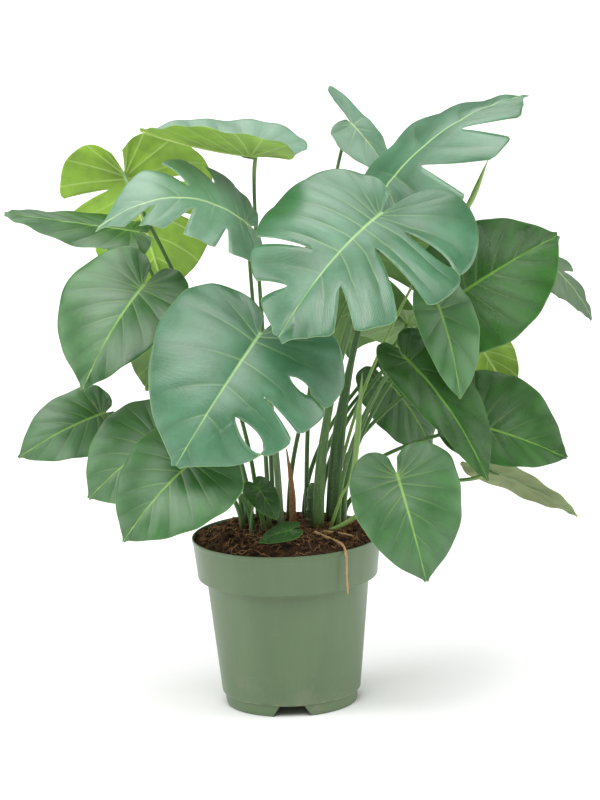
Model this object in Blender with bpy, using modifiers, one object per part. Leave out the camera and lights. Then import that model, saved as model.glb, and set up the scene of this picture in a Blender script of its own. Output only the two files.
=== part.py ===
"""A potted monstera: a nursery pot full of soil, with a bush of split and heart-shaped leaves.

Metres, +Z up. The origin is the centre of the pot's underside, on the surface it stands on.
"""

import math

import bmesh
import bpy
from mathutils import Matrix, Vector

# Pot
POT_HEIGHT = 0.243
RIM_RADIUS = 0.135
RIM_BAND_HEIGHT = 0.058
RIM_BAND_TAPER = 0.007
RIM_STEP = 0.012
FOOT_RADIUS = 0.099
FOOT_EDGE_RADIUS = 0.094
FOOT_HEIGHT = 0.018
WALL = 0.0025
FLOOR_THICKNESS = 0.003
FOOT_RECESS = 0.0175
FOOT_WALL = 0.004
PAD_RADIUS = 0.040
NOTCH_WIDTH_TOP = 0.035
NOTCH_WIDTH_BOTTOM = 0.057
NOTCH_HEIGHT = 0.016
NOTCHES = 4
DRAIN_RADIUS = 0.006
DRAIN_RING_RADIUS = 0.066
DRAIN_HOLES = 8
TURN_STEPS = 40

# Soil
GAP = 0.0003
HEAP_RADIUS = 0.085
FEET_DRAWN_FOR = 0.085
HEAP_RISE = 0.007
SOIL_BELOW_RIM = 0.008

# Leaves and stalks
BLADE_THICKNESS = 0.0016
STALK_RADIUS = 0.0034
STALK_TOP_SHARE = 0.72
STALK_LIFT = 0.45
STALK_POINTS = 9
JOINT_CLEARANCE = 0.36 * STALK_RADIUS
STEM_RADIUS = 0.009
ROLL_STALK_RADIUS = 0.0028
ROLL_FULLNESS = 0.0035
ROLL_START = 0.55
ROLL_POINT_RADIUS = 0.0009
SHEATH_RADIUS = 0.0038
ROOT_RADIUS = 0.0022
ROOT_RIM_CLEARANCE = 0.003
FOOT_RUN = 0.004

HEAP_TOP = POT_HEIGHT + HEAP_RISE

COLLECTION = "potted_monstera"
CUTTERS = "cutters"

BLUE_GREEN = (0.18, 0.36, 0.25)
MID_GREEN = (0.08, 0.24, 0.10)
DARK_GREEN = (0.02, 0.10, 0.03)
LIME = (0.25, 0.45, 0.08)
STALK_GREEN = (0.10, 0.23, 0.04)
TAN = (0.36, 0.20, 0.08)
POT_GREEN = (0.15, 0.23, 0.13)
SOIL_BROWN = (0.035, 0.017, 0.008)

# Outline of half a blade from the notch behind the joint, round the basal lobe, to the tip.
# First value along the midrib (joint 0, tip 1), second across (widest 1).
HALF_OUTLINE = [
    (-0.20, 0.07), (-0.29, 0.26), (-0.30, 0.52), (-0.20, 0.79), (-0.02, 0.96), (0.20, 1.00),
    (0.43, 0.90), (0.64, 0.69), (0.81, 0.41), (0.93, 0.14), (1.0, 0.0),
]
FAN_SHARE = 0.40
FAN_LENGTH = 0.05
VEIN_CROWDING = 1.4
VEIN_SWEEP = 0.10
VEIN_BOW = 0.03
WHOLE_ROWS = 9
WHOLE_COLUMNS = 3
SPLIT_COLUMNS = 4
SPLIT_STEPS = 2
STRIP_HALF = 0.004
EDGES = (0.20, 0.38, 0.53, 0.67, 0.81)


def clear_scene():
    for old in list(bpy.data.objects):
        bpy.data.objects.remove(old, do_unlink=True)


def make_collection(name):
    collection = bpy.data.collections.new(name)
    bpy.context.scene.collection.children.link(collection)
    return collection


def make_material(name, colour, roughness, metallic=0.0):
    material = bpy.data.materials.new(name)
    material.use_nodes = True
    shader = material.node_tree.nodes["Principled BSDF"]
    shader.inputs["Base Color"].default_value = (*colour, 1.0)
    shader.inputs["Roughness"].default_value = roughness
    shader.inputs["Metallic"].default_value = metallic
    return material


def add_object(name, data, colour, roughness):
    piece = bpy.data.objects.new(name, data)
    data.materials.append(make_material(name, colour, roughness))
    bpy.data.collections[COLLECTION].objects.link(piece)
    return piece


def add_cutter(name, mesh):
    cutter = bpy.data.objects.new(name, mesh)
    cutter.hide_render = True
    cutter.display_type = "WIRE"
    bpy.data.collections[CUTTERS].objects.link(cutter)
    return cutter


def cut(piece, cutter):
    boolean = piece.modifiers.new("cut " + cutter.name, "BOOLEAN")
    boolean.operation = "DIFFERENCE"
    boolean.object = cutter


# Turned pieces


def turned_mesh(name, profile):
    """Line mesh of a closed profile in XZ, for a Screw modifier."""
    mesh = bpy.data.meshes.new(name)
    edges = [(i, i + 1) for i in range(len(profile) - 1)]
    mesh.from_pydata([(radius, 0.0, height) for radius, height in profile], edges, [])
    return mesh


def add_turned(name, profile, colour, roughness):
    piece = add_object(name, turned_mesh(name, profile), colour, roughness)
    screw = piece.modifiers.new("turn", "SCREW")
    screw.steps = TURN_STEPS
    screw.render_steps = TURN_STEPS
    screw.use_merge_vertices = True
    screw.merge_threshold = 0.0001
    screw.use_smooth_shade = True
    return piece


def body_radius(height):
    """Outer radius of the pot's body, between the foot groove and the rim band."""
    low, high = FOOT_HEIGHT, POT_HEIGHT - RIM_BAND_HEIGHT
    top = RIM_RADIUS - RIM_BAND_TAPER - RIM_STEP
    return FOOT_RADIUS + (top - FOOT_RADIUS) * (height - low) / (high - low)


def inner_radius(height):
    """Inner radius of the pot at a height."""
    shelf = POT_HEIGHT - RIM_BAND_HEIGHT
    if height < shelf:
        return body_radius(height) - WALL
    share = (height - shelf) / RIM_BAND_HEIGHT
    return RIM_RADIUS - RIM_BAND_TAPER * (1.0 - share) - WALL


def make_pot():
    shelf = POT_HEIGHT - RIM_BAND_HEIGHT
    band_foot = RIM_RADIUS - RIM_BAND_TAPER
    lip = 0.002
    round_corner = 0.003
    floor_top = FOOT_RECESS + FLOOR_THICKNESS
    profile = [
        (0.0, FLOOR_THICKNESS),
        (PAD_RADIUS - WALL, FLOOR_THICKNESS),
        (PAD_RADIUS, floor_top),
        (inner_radius(floor_top) - 0.004, floor_top),
        (inner_radius(floor_top + 0.006), floor_top + 0.006),
        (inner_radius(shelf - 0.002), shelf - 0.002),
        (inner_radius(shelf + 0.002), shelf + 0.002),
        (inner_radius(POT_HEIGHT) - 0.0005, POT_HEIGHT - lip),
        (inner_radius(POT_HEIGHT) + WALL * 0.3, POT_HEIGHT),
        (RIM_RADIUS - 0.0005, POT_HEIGHT),
        (RIM_RADIUS, POT_HEIGHT - lip),
        (RIM_RADIUS - 0.0008, POT_HEIGHT - 2.0 * lip),
        (band_foot, shelf + round_corner),
        (band_foot - round_corner, shelf),
        (band_foot - RIM_STEP, shelf - 0.001),
        (body_radius(FOOT_HEIGHT), FOOT_HEIGHT),
        (FOOT_RADIUS - 0.0025, FOOT_HEIGHT - 0.0015),
        (FOOT_RADIUS - 0.003, 0.006),
        (FOOT_EDGE_RADIUS, 0.0),
        (FOOT_EDGE_RADIUS - FOOT_WALL, 0.0),
        (FOOT_EDGE_RADIUS - FOOT_WALL + 0.001, FOOT_RECESS),
        (PAD_RADIUS + WALL, FOOT_RECESS),
        (PAD_RADIUS, 0.0),
        (0.0, 0.0),
    ]
    pot = add_turned("pot", profile, POT_GREEN, 0.45)
    for number in range(NOTCHES):
        cut(pot, notch_cutter(number))
    cut(pot, drain_cutter())
    return pot


def notch_cutter(number):
    """Wedge that opens the foot ring, its wide side down."""
    bm = bmesh.new()
    bmesh.ops.create_cube(bm, size=1.0)
    for vertex in bm.verts:
        low = vertex.co.z < 0.0
        width = NOTCH_WIDTH_BOTTOM if low else NOTCH_WIDTH_TOP
        vertex.co.x *= width
        vertex.co.y = -FOOT_RADIUS + 0.001 + vertex.co.y * 0.030
        vertex.co.z = -0.001 if low else NOTCH_HEIGHT
    turn = Matrix.Rotation(2.0 * math.pi * number / NOTCHES, 4, "Z")
    bmesh.ops.transform(bm, matrix=turn, verts=bm.verts)
    mesh = bpy.data.meshes.new("notch_%d" % number)
    bm.to_mesh(mesh)
    bm.free()
    return add_cutter("notch_%d" % number, mesh)


def drain_cutter():
    """Ring of short rods through the floor."""
    bm = bmesh.new()
    for number in range(DRAIN_HOLES):
        angle = 2.0 * math.pi * (number + 0.5) / DRAIN_HOLES
        x, y = DRAIN_RING_RADIUS * math.cos(angle), DRAIN_RING_RADIUS * math.sin(angle)
        place = Matrix.Translation((x, y, FOOT_RECESS))
        bmesh.ops.create_cone(
            bm, cap_ends=True, segments=12, radius1=DRAIN_RADIUS, radius2=DRAIN_RADIUS,
            depth=4.0 * FLOOR_THICKNESS, matrix=place,
        )
    mesh = bpy.data.meshes.new("drain_rods")
    bm.to_mesh(mesh)
    bm.free()
    return add_cutter("drain_rods", mesh)


def make_soil():
    shelf = POT_HEIGHT - RIM_BAND_HEIGHT
    edge = POT_HEIGHT - SOIL_BELOW_RIM
    floor_top = FOOT_RECESS + FLOOR_THICKNESS
    profile = [
        (0.0, HEAP_TOP),
        (HEAP_RADIUS, HEAP_TOP),
        (inner_radius(edge) - GAP * 2.0, edge),
        (inner_radius(shelf + 0.002) - GAP * 3.0, shelf + 0.002 + GAP * 3.0),
        (inner_radius(shelf - 0.002) - GAP * 3.0, shelf - 0.002),
        (inner_radius(floor_top + 0.006) - GAP * 2.0, floor_top + 0.006),
        (inner_radius(floor_top) - 0.004 - GAP * 2.0, floor_top + GAP),
        (PAD_RADIUS - GAP, floor_top + GAP),
        (PAD_RADIUS - WALL - GAP, FLOOR_THICKNESS + GAP),
        (0.0, FLOOR_THICKNESS + GAP),
    ]
    return add_turned("soil", profile, SOIL_BROWN, 0.95)


# Curves


def smooth_points(controls, count):
    """Points on a curve through the controls (Catmull-Rom), ends included."""
    padded = [2.0 * controls[0] - controls[1]] + controls + [2.0 * controls[-1] - controls[-2]]
    spans = len(controls) - 1
    points = []
    for number in range(count):
        place = spans * number / (count - 1)
        span = min(int(place), spans - 1)
        share = place - span
        a, b, c, d = padded[span : span + 4]
        points.append(
            0.5 * (2.0 * b + (c - a) * share + (2.0 * a - 5.0 * b + 4.0 * c - d) * share**2
                   + (3.0 * b - a - 3.0 * c + d) * share**3)
        )
    return points


def bezier_points(start, lift, approach, end, count):
    """Points on one cubic span."""
    points = []
    for number in range(count):
        t = number / (count - 1)
        points.append(
            start * (1.0 - t) ** 3 + lift * (3.0 * t * (1.0 - t) ** 2)
            + approach * (3.0 * t**2 * (1.0 - t)) + end * t**3
        )
    return points


def planted(place):
    """A place drawn on the heap's top, moved in or out with the heap's size."""
    return Vector(place) * HEAP_RADIUS / FEET_DRAWN_FOR


def standing(points):
    """The same points with one straight above the first, so that the foot is cut level."""
    return [points[0], points[0] + Vector((0.0, 0.0, FOOT_RUN))] + points[1:]


def add_tube(name, points, radii, colour, roughness, resolution=2):
    """Tapered tube: a POLY curve with a radius at each point."""
    curve = bpy.data.curves.new(name, "CURVE")
    curve.dimensions = "3D"
    curve.bevel_depth = 1.0
    curve.bevel_resolution = resolution
    curve.use_fill_caps = True
    spline = curve.splines.new("POLY")
    spline.points.add(len(points) - 1)
    for point, place, radius in zip(spline.points, points, radii):
        point.co = (*place, 1.0)
        point.radius = radius
    spline.use_smooth = True
    return add_object(name, curve, colour, roughness)


# Leaves


def outline_point(share):
    """Point of HALF_OUTLINE, smoothly between its corners."""
    controls = [Vector(point) for point in HALF_OUTLINE]
    padded = [2.0 * controls[0] - controls[1]] + controls + [2.0 * controls[-1] - controls[-2]]
    spans = len(controls) - 1
    place = spans * min(max(share, 0.0), 1.0)
    span = min(int(place), spans - 1)
    t = place - span
    a, b, c, d = padded[span : span + 4]
    return 0.5 * (2.0 * b + (c - a) * t + (2.0 * a - 5.0 * b + 4.0 * c - d) * t**2
                  + (3.0 * b - a - 3.0 * c + d) * t**3)


def leaf_axes(leaf):
    """Joint, unit vectors along, across (left) and up from the blade, and its length."""
    joint = Vector(leaf["joint"])
    along = Vector(leaf["tip"]) - joint
    length = along.length
    along.normalize()
    face = Vector(leaf["face"])
    up = (face - along * face.dot(along)).normalized()
    return joint, along, up.cross(along), up, length


def vein_origin(share):
    """Where a vein leaves the midrib, from its share of the way round the outline."""
    if share < FAN_SHARE:
        return FAN_LENGTH * share / FAN_SHARE
    return FAN_LENGTH + (1.0 - FAN_LENGTH) * ((share - FAN_SHARE) / (1.0 - FAN_SHARE)) ** VEIN_CROWDING


def blade_point(leaf, axes, share, origin, out, side):
    """Point of a blade. share runs round the outline, out from the midrib (0) to the edge (1)."""
    joint, along, across, up, length = axes
    index = 0 if side > 0 else 1
    half = leaf["half_widths"][index]
    mean_half = sum(leaf["half_widths"]) / 2.0
    edge = outline_point(share)
    edge_x = edge.x * length * (leaf["back"][index] if edge.x < 0.0 else 1.0)
    fullness = leaf["full"] if edge.x > 0.1 else 1.0
    edge_y = max(edge.y, 0.0) ** fullness * half
    start_x = origin * length
    reach = math.hypot(edge_x - start_x, edge_y)
    sweep = min(max((share - 0.1) / 0.5, 0.0), 1.0)
    middle_x = (start_x + edge_x) / 2.0 - VEIN_SWEEP * reach * sweep
    middle_y = edge_y / 2.0 + VEIN_BOW * reach
    x = (1.0 - out) ** 2 * start_x + 2.0 * out * (1.0 - out) * middle_x + out**2 * edge_x
    y = 2.0 * out * (1.0 - out) * middle_y + out**2 * edge_y
    t = x / length
    arch = 4.0 * leaf["droop"] * length * t * ((1.0 - t) if t >= 0.0 else 0.5)
    bow = 4.0 * leaf["bend"] * length * t * (1.0 - t) * (1.0 if t >= 0.0 else 0.3)
    fold = math.radians(leaf["fold"][index])
    rise = math.tan(fold) * y - leaf["cup"][index] * mean_half * (y / mean_half) ** 2
    return joint + along * x + across * (side * y + bow) + up * (arch + rise)


def slit_half_width(leaf, side, number, out):
    """Half the gap between two lobes, as a share of the outline."""
    for slit in leaf["slits"]:
        if slit["side"] != side or slit["edge"] != number:
            continue
        inner, outer = slit["inner"], slit["outer"]
        if out <= inner or (outer < 1.0 and out >= outer):
            return STRIP_HALF
        share = (out - inner) / (outer - inner)
        if outer < 1.0:
            return STRIP_HALF + slit["width"] * math.sin(math.pi * share) ** 0.6
        return STRIP_HALF + slit["width"] * math.sqrt(share)
    return STRIP_HALF


def blade_rows(leaf):
    """Rows of a blade as (lobe, share of the lobe)."""
    if not leaf["slits"]:
        return [(0, row / WHOLE_ROWS) for row in range(WHOLE_ROWS + 1)]
    lobes = len(leaf["edges"][0]) + 1
    return [(lobe, step / SPLIT_STEPS) for lobe in range(lobes) for step in range(SPLIT_STEPS + 1)]


def row_share(leaf, side, row, out):
    """Share of the outline that a row reaches on one side."""
    if not leaf["slits"]:
        return row[1]
    edges = [0.0, *leaf["edges"][0 if side > 0 else 1], 1.0]
    lobe, step = row
    low, high = edges[lobe], edges[lobe + 1]
    if lobe > 0:
        low += slit_half_width(leaf, side, lobe, out)
    if lobe < len(edges) - 2:
        high -= slit_half_width(leaf, side, lobe + 1, out)
    return low + (high - low) * step


def in_slit(leaf, side, lobe, inner, outer):
    """Whether the strip between two lobes is open between these two columns."""
    for slit in leaf["slits"]:
        if slit["side"] == side and slit["edge"] == lobe:
            if inner >= slit["inner"] - 0.001 and outer <= slit["outer"] + 0.001:
                return True
    return False


def make_blade(leaf):
    """Blade: a grid across both halves, shaped row by row, its slits opened, then thickened."""
    columns = SPLIT_COLUMNS if leaf["slits"] else WHOLE_COLUMNS
    rows = blade_rows(leaf)
    axes = leaf_axes(leaf)
    bm = bmesh.new()
    bmesh.ops.create_grid(bm, x_segments=2 * columns, y_segments=len(rows) - 1, size=1.0)
    place = {}
    for vertex in bm.verts:
        column = round(vertex.co.x * columns)
        number = round((vertex.co.y + 1.0) / 2.0 * (len(rows) - 1))
        place[vertex] = (column, number)
    openings = []
    for face in bm.faces:
        across = [place[vertex][0] for vertex in face.verts]
        numbers = [place[vertex][1] for vertex in face.verts]
        low, high = rows[min(numbers)], rows[max(numbers)]
        if low[0] == high[0]:
            continue
        side = -1 if sum(across) > 0 else 1
        reach = sorted(abs(column) / columns for column in across)
        if in_slit(leaf, side, high[0], reach[0], reach[-1]):
            openings.append(face)
    for vertex, (column, number) in place.items():
        side = -1 if column > 0 else 1
        out = abs(column) / columns
        both = [row_share(leaf, each, rows[number], 0.0) for each in (1, -1)]
        share = row_share(leaf, side, rows[number], out)
        vertex.co = blade_point(leaf, axes, share, vein_origin(sum(both) / 2.0), out, side)
    bmesh.ops.delete(bm, geom=openings, context="FACES")
    bmesh.ops.remove_doubles(bm, verts=bm.verts, dist=0.0001)
    mesh = bpy.data.meshes.new("blade_" + leaf["name"])
    bm.to_mesh(mesh)
    bm.free()
    mesh.shade_smooth()
    piece = add_object("blade_" + leaf["name"], mesh, leaf["colour"], 0.4)
    thicken = piece.modifiers.new("thickness", "SOLIDIFY")
    thicken.thickness = BLADE_THICKNESS
    thicken.offset = 0.0
    return piece


def make_stalk(leaf):
    """Stalk from the heap of soil to just under the blade's joint."""
    joint, along, _, up, _ = leaf_axes(leaf)
    radius = STALK_RADIUS * leaf["stalk"]
    start = Vector((*planted(leaf["foot"]), HEAP_TOP + GAP))
    sag = math.tan(math.radians(max(0.0, -min(leaf["fold"])))) * radius
    end = joint - up * (BLADE_THICKNESS / 2.0 + JOINT_CLEARANCE + sag)
    rise = leaf["lift"] * (end - start).length
    lift = start + Vector((*leaf["lean"], rise))
    approach = end - up * leaf["reach"] + Vector(leaf["swing"])
    points = standing(bezier_points(start, lift, approach, end, STALK_POINTS))
    last = len(points) - 1
    radii = [radius * (1.0 - (1.0 - STALK_TOP_SHARE) * number / last) for number in range(last + 1)]
    return add_tube("stalk_" + leaf["name"], points, radii, STALK_GREEN, 0.5)


def leaf(name, joint, tip, face, half_widths, foot, colour, back=(0.9, 0.9), fold=(4.0, 4.0),
         cup=(0.15, 0.15), droop=0.08, bend=0.0, full=0.85, edges=(EDGES, EDGES), slits=(),
         stalk=1.0, lift=STALK_LIFT, lean=(0.0, 0.0), reach=0.05, swing=(0.0, 0.0, 0.0)):
    """One leaf. joint and tip are measured from the centre of the heap's top, face is the way its
    upper side looks, half_widths, back, fold and cup are (left, right) seen from the joint, foot is
    where the stalk stands on the heap. lift (a share of the stalk's span) and lean shape how the
    stalk leaves the heap, reach and swing how it comes up to the joint."""
    heap = Vector((0.0, 0.0, HEAP_TOP))
    return {
        "name": name, "joint": Vector(joint) + heap, "tip": Vector(tip) + heap, "face": face,
        "half_widths": half_widths, "foot": foot, "colour": colour, "back": back, "fold": fold,
        "cup": cup, "droop": droop, "bend": bend, "full": full, "edges": edges, "slits": slits,
        "stalk": stalk, "lift": lift, "lean": lean, "reach": reach, "swing": swing,
    }


def slit(side, edge, inner, outer=1.0, width=0.025):
    """Opening on one side (1 left, -1 right) between two lobes, from inner to outer."""
    return {"side": side, "edge": edge, "inner": inner, "outer": outer, "width": width}


LEAVES = [
    leaf("front_large", (0.145, -0.130, 0.470), (0.000, -0.250, 0.325), (-0.15, -0.75, 0.65),
         (0.150, 0.142), (0.046, -0.004), BLUE_GREEN, back=(1.2, 0.7), cup=(0.25, 0.25), droop=0.10,
         full=0.75, edges=((0.20, 0.45, 0.62, 0.80, 0.90), (0.20, 0.40, 0.53, 0.66, 0.81)),
         slits=(slit(1, 2, 0.25, 0.75, 0.03), slit(1, 3, 0.25, 1.0, 0.04), slit(1, 4, 0.25),
                slit(-1, 4, 0.25, 1.0, 0.012), slit(-1, 5, 0.25, 1.0, 0.02)), stalk=1.9),
    leaf("front_left_large", (-0.025, -0.160, 0.315), (-0.145, -0.230, 0.150), (0.10, -0.85, 0.50),
         (0.135, 0.125), (-0.008, 0.000), BLUE_GREEN, back=(0.9, 0.55), cup=(0.2, 0.2), droop=0.10,
         full=0.78, edges=((0.20, 0.35, 0.50, 0.615, 0.72), EDGES),
         slits=(slit(1, 3, 0.5, 0.75), slit(1, 4, 0.5, 1.0, 0.012), slit(1, 5, 0.25, 1.0, 0.035)),
         stalk=1.5),
    leaf("top_right", (0.150, 0.000, 0.480), (0.355, 0.060, 0.600), (-0.15, -0.35, 0.90),
         (0.088, 0.134), (0.068, 0.022), BLUE_GREEN, back=(1.6, 0.6), fold=(-8.0, 0.0),
         cup=(0.1, 0.1), droop=0.11, full=0.8, edges=(EDGES, (0.20, 0.40, 0.60, 0.80, 0.92)),
         slits=(slit(-1, 2, 0.5, 1.0, 0.06), slit(-1, 3, 0.25, 1.0, 0.055),
                slit(-1, 4, 0.25, 1.0, 0.045)), stalk=1.6),
    leaf("top_centre", (0.112, 0.175, 0.555), (0.165, 0.150, 0.480), (0.55, -0.80, 0.20),
         (0.030, 0.040), (0.030, 0.042), BLUE_GREEN, back=(2.2, 0.4), fold=(0.0, 0.0),
         cup=(0.1, 0.1), droop=0.06),
    leaf("yellow_green", (-0.215, 0.135, 0.500), (-0.165, 0.180, 0.310), (0.10, 0.90, 0.30),
         (0.100, 0.125), (-0.056, 0.042), LIME, fold=(0.0, 0.0), cup=(0.1, 0.1), droop=0.06,
         edges=((0.20, 0.35, 0.48, 0.62, 0.80), (0.20, 0.36, 0.50, 0.66, 0.82)),
         slits=(slit(-1, 3, 0.25, 0.75, 0.02), slit(-1, 4, 0.5, 1.0, 0.02), slit(1, 3, 0.25, 1.0, 0.03),
                slit(1, 4, 0.5, 1.0, 0.03)), reach=0.03),
    leaf("left_split", (-0.035, -0.050, 0.445), (-0.242, -0.110, 0.459), (-0.05, -0.25, 0.97),
         (0.066, 0.115), (-0.024, -0.004), BLUE_GREEN, back=(0.2, 0.3), fold=(-28.0, 18.0),
         cup=(0.1, 0.1), droop=0.20, full=1.1,
         slits=(slit(-1, 3, 0.5, 1.0, 0.03), slit(-1, 4, 0.25, 1.0, 0.03), slit(1, 3, 0.5, 1.0, 0.02),
                slit(1, 4, 0.25, 1.0, 0.03), slit(1, 5, 0.25, 1.0, 0.03))),
    leaf("top_left", (-0.025, 0.010, 0.534), (-0.185, 0.045, 0.570), (0.00, 0.08, 1.00),
         (0.110, 0.095), (-0.018, 0.046), BLUE_GREEN, back=(1.2, 1.2), fold=(20.0, 24.0),
         cup=(0.0, 0.0), droop=-0.03, swing=(0.0, 0.02, 0.0)),
    leaf("left_dark", (-0.185, -0.065, 0.370), (-0.270, -0.155, 0.245), (-0.10, -0.80, 0.60),
         (0.068, 0.102), (-0.048, 0.010), DARK_GREEN, back=(0.8, 0.95), cup=(0.2, 0.2), droop=0.10),
    leaf("far_left", (-0.195, 0.060, 0.425), (-0.380, 0.040, 0.460), (0.05, -0.34, 0.92),
         (0.062, 0.054), (-0.062, 0.024), MID_GREEN, back=(0.3, 0.3), fold=(4.0, -6.0),
         cup=(0.1, 0.1), droop=0.0, full=0.62),
    leaf("left_low", (-0.250, -0.010, 0.180), (-0.370, -0.060, 0.130), (-0.10, -0.80, 0.60),
         (0.055, 0.058), (-0.062, 0.006), MID_GREEN, back=(0.4, 0.5), cup=(0.2, 0.2)),
    leaf("left_grey", (-0.165, -0.100, 0.160), (-0.270, -0.130, 0.085), (-0.10, -0.80, 0.60),
         (0.080, 0.080), (-0.048, -0.008), MID_GREEN, cup=(0.2, 0.2), droop=0.10),
    leaf("front_left_low", (-0.120, -0.170, 0.145), (-0.220, -0.220, 0.045), (-0.10, -0.80, 0.60),
         (0.083, 0.080), (-0.032, -0.016), MID_GREEN, back=(0.75, 0.75), cup=(0.2, 0.2), droop=0.10),
    leaf("right_dark", (0.250, -0.010, 0.330), (0.395, 0.030, 0.405), (0.10, -0.85, 0.50),
         (0.085, 0.095), (0.080, 0.022), DARK_GREEN, cup=(0.1, 0.1), droop=0.06, full=0.75),
    leaf("far_right", (0.365, 0.150, 0.365), (0.450, 0.130, 0.265), (0.50, -0.60, 0.50),
         (0.030, 0.040), (0.050, 0.056), MID_GREEN, cup=(0.1, 0.1), droop=0.10),
    leaf("right_centre", (0.220, -0.100, 0.335), (0.245, -0.140, 0.210), (0.20, -0.80, 0.50),
         (0.048, 0.038), (0.082, 0.006), MID_GREEN, cup=(0.1, 0.1), droop=0.10),
    leaf("right_long", (0.170, -0.100, 0.265), (0.280, -0.150, 0.095), (0.10, -0.60, 0.60),
         (0.060, 0.040), (0.074, -0.006), DARK_GREEN, back=(0.5, 0.5), cup=(0.1, 0.1), droop=0.06,
         bend=0.03),
    leaf("right_low_dark", (0.265, 0.000, 0.145), (0.400, 0.000, 0.090), (0.10, -0.85, 0.50),
         (0.090, 0.052), (0.068, 0.037), DARK_GREEN, cup=(0.1, 0.1)),
    leaf("right_lime", (0.280, 0.100, 0.245), (0.330, 0.120, 0.150), (0.10, 0.80, 0.50),
         (0.045, 0.045), (0.060, 0.048), LIME, cup=(0.1, 0.1)),
    leaf("right_pale", (0.290, 0.030, 0.070), (0.415, 0.000, 0.005), (0.15, 0.60, 0.50),
         (0.030, 0.030), (0.082, 0.037), LIME, cup=(0.1, 0.1), droop=0.05),
    leaf("front_right_low", (0.155, -0.170, 0.115), (0.190, -0.200, -0.030), (0.00, -0.85, 0.50),
         (0.082, 0.070), (0.050, -0.022), MID_GREEN, back=(0.75, 0.8), cup=(0.2, 0.2), lift=0.12,
         lean=(0.070, -0.020)),
    leaf("back_left", (-0.105, 0.145, 0.285), (-0.200, 0.255, 0.155), (-0.30, 0.75, 0.60),
         (0.085, 0.085), (-0.040, 0.056), MID_GREEN),
    leaf("back_large", (0.150, 0.215, 0.395), (0.095, 0.290, 0.195), (0.00, 0.80, 0.40),
         (0.125, 0.125), (0.004, 0.060), BLUE_GREEN, back=(0.7, 0.7), full=0.78,
         slits=(slit(1, 3, 0.25, 1.0, 0.02), slit(1, 4, 0.25), slit(-1, 3, 0.25, 1.0, 0.02),
                slit(-1, 4, 0.25))),
    leaf("back_right", (0.185, 0.225, 0.250), (0.280, 0.330, 0.140), (0.30, 0.70, 0.60),
         (0.080, 0.080), (0.026, 0.064), MID_GREEN),
    leaf("inner_right", (0.150, 0.140, 0.185), (0.215, 0.175, 0.065), (0.20, -0.60, 0.60),
         (0.060, 0.060), (0.040, 0.064), DARK_GREEN),
    leaf("seedling_left", (-0.038, -0.068, 0.078), (-0.012, -0.088, 0.035), (0.00, -0.60, 0.80),
         (0.022, 0.022), (-0.050, -0.046), DARK_GREEN, stalk=0.6, reach=0.02),
    leaf("seedling_front", (0.008, -0.095, 0.022), (-0.038, -0.100, 0.006), (0.00, -0.50, 0.80),
         (0.018, 0.018), (0.010, -0.060), DARK_GREEN, stalk=0.6, reach=0.012),
]


def make_main_stem():
    base = Vector((*planted((0.038, 0.020)), HEAP_TOP + GAP))
    controls = [base, base + Vector((0.001, 0.002, 0.03)), base + Vector((0.004, 0.006, 0.06))]
    points = standing(smooth_points(controls, 6))
    radii = [STEM_RADIUS * share for share in (1.0, 1.0, 1.0, 0.98, 0.95, 0.9, 0.6)]
    return add_tube("main_stem", points, radii, STALK_GREEN, 0.6, 3)


def make_rolled_leaf(name, foot, controls, colour):
    """Rolled new leaf: thin stalk, a fuller roll, and a fine point."""
    heap = Vector((0.0, 0.0, HEAP_TOP + GAP))
    places = [Vector((*planted(foot), 0.0))] + [Vector(control) for control in controls]
    points = standing(smooth_points([heap + place for place in places], 14))
    last = len(points) - 1
    radii = []
    for number in range(len(points)):
        share = number / last
        roll = math.sin(math.pi * max((share - ROLL_START) / (1.0 - ROLL_START), 0.0))
        stalk = ROLL_STALK_RADIUS * (1.0 - 0.75 * share)
        radii.append(max(stalk + ROLL_FULLNESS * roll, ROLL_POINT_RADIUS))
    return add_tube(name, points, radii, colour, 0.4)


def make_dried_sheath():
    base = Vector((*planted((0.010, 0.014)), HEAP_TOP + GAP))
    controls = [base, base + Vector((0.0, -0.002, 0.05)), base + Vector((-0.006, -0.004, 0.115))]
    points = standing(smooth_points(controls, 7))
    radii = [SHEATH_RADIUS * share for share in (0.92, 0.92, 1.0, 1.0, 0.9, 0.74, 0.47, 0.21)]
    return add_tube("dried_sheath", points, radii, TAN, 0.8)


def make_root_over_rim():
    """Aerial root: along the heap, over the rim and down outside it."""
    angle = math.radians(-53.0)
    outward = Vector((math.cos(angle), math.sin(angle), 0.0))
    side = Vector((-math.sin(angle), math.cos(angle), 0.0))
    clear = ROOT_RADIUS + ROOT_RIM_CLEARANCE
    heights = Vector((0.0, 0.0, 1.0))
    rest = HEAP_TOP + ROOT_RADIUS + GAP
    controls = [
        outward * 0.052 + side * 0.012 + heights * rest,
        outward * HEAP_RADIUS + side * 0.006 + heights * rest,
        outward * (RIM_RADIUS - 0.006) + heights * max(POT_HEIGHT + clear, rest - 0.002),
        outward * (RIM_RADIUS + clear) - side * 0.002 + heights * (POT_HEIGHT - 0.008),
        outward * (RIM_RADIUS + clear + 0.001) - side * 0.003 + heights * (POT_HEIGHT - 0.035),
        outward * (RIM_RADIUS + clear) - side * 0.001 + heights * (POT_HEIGHT - 0.062),
    ]
    points = smooth_points(controls, 16)
    radii = [ROOT_RADIUS * (1.0 - 0.6 * number / 15.0) for number in range(16)]
    return add_tube("aerial_root_long", points, radii, TAN, 0.85)


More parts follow.
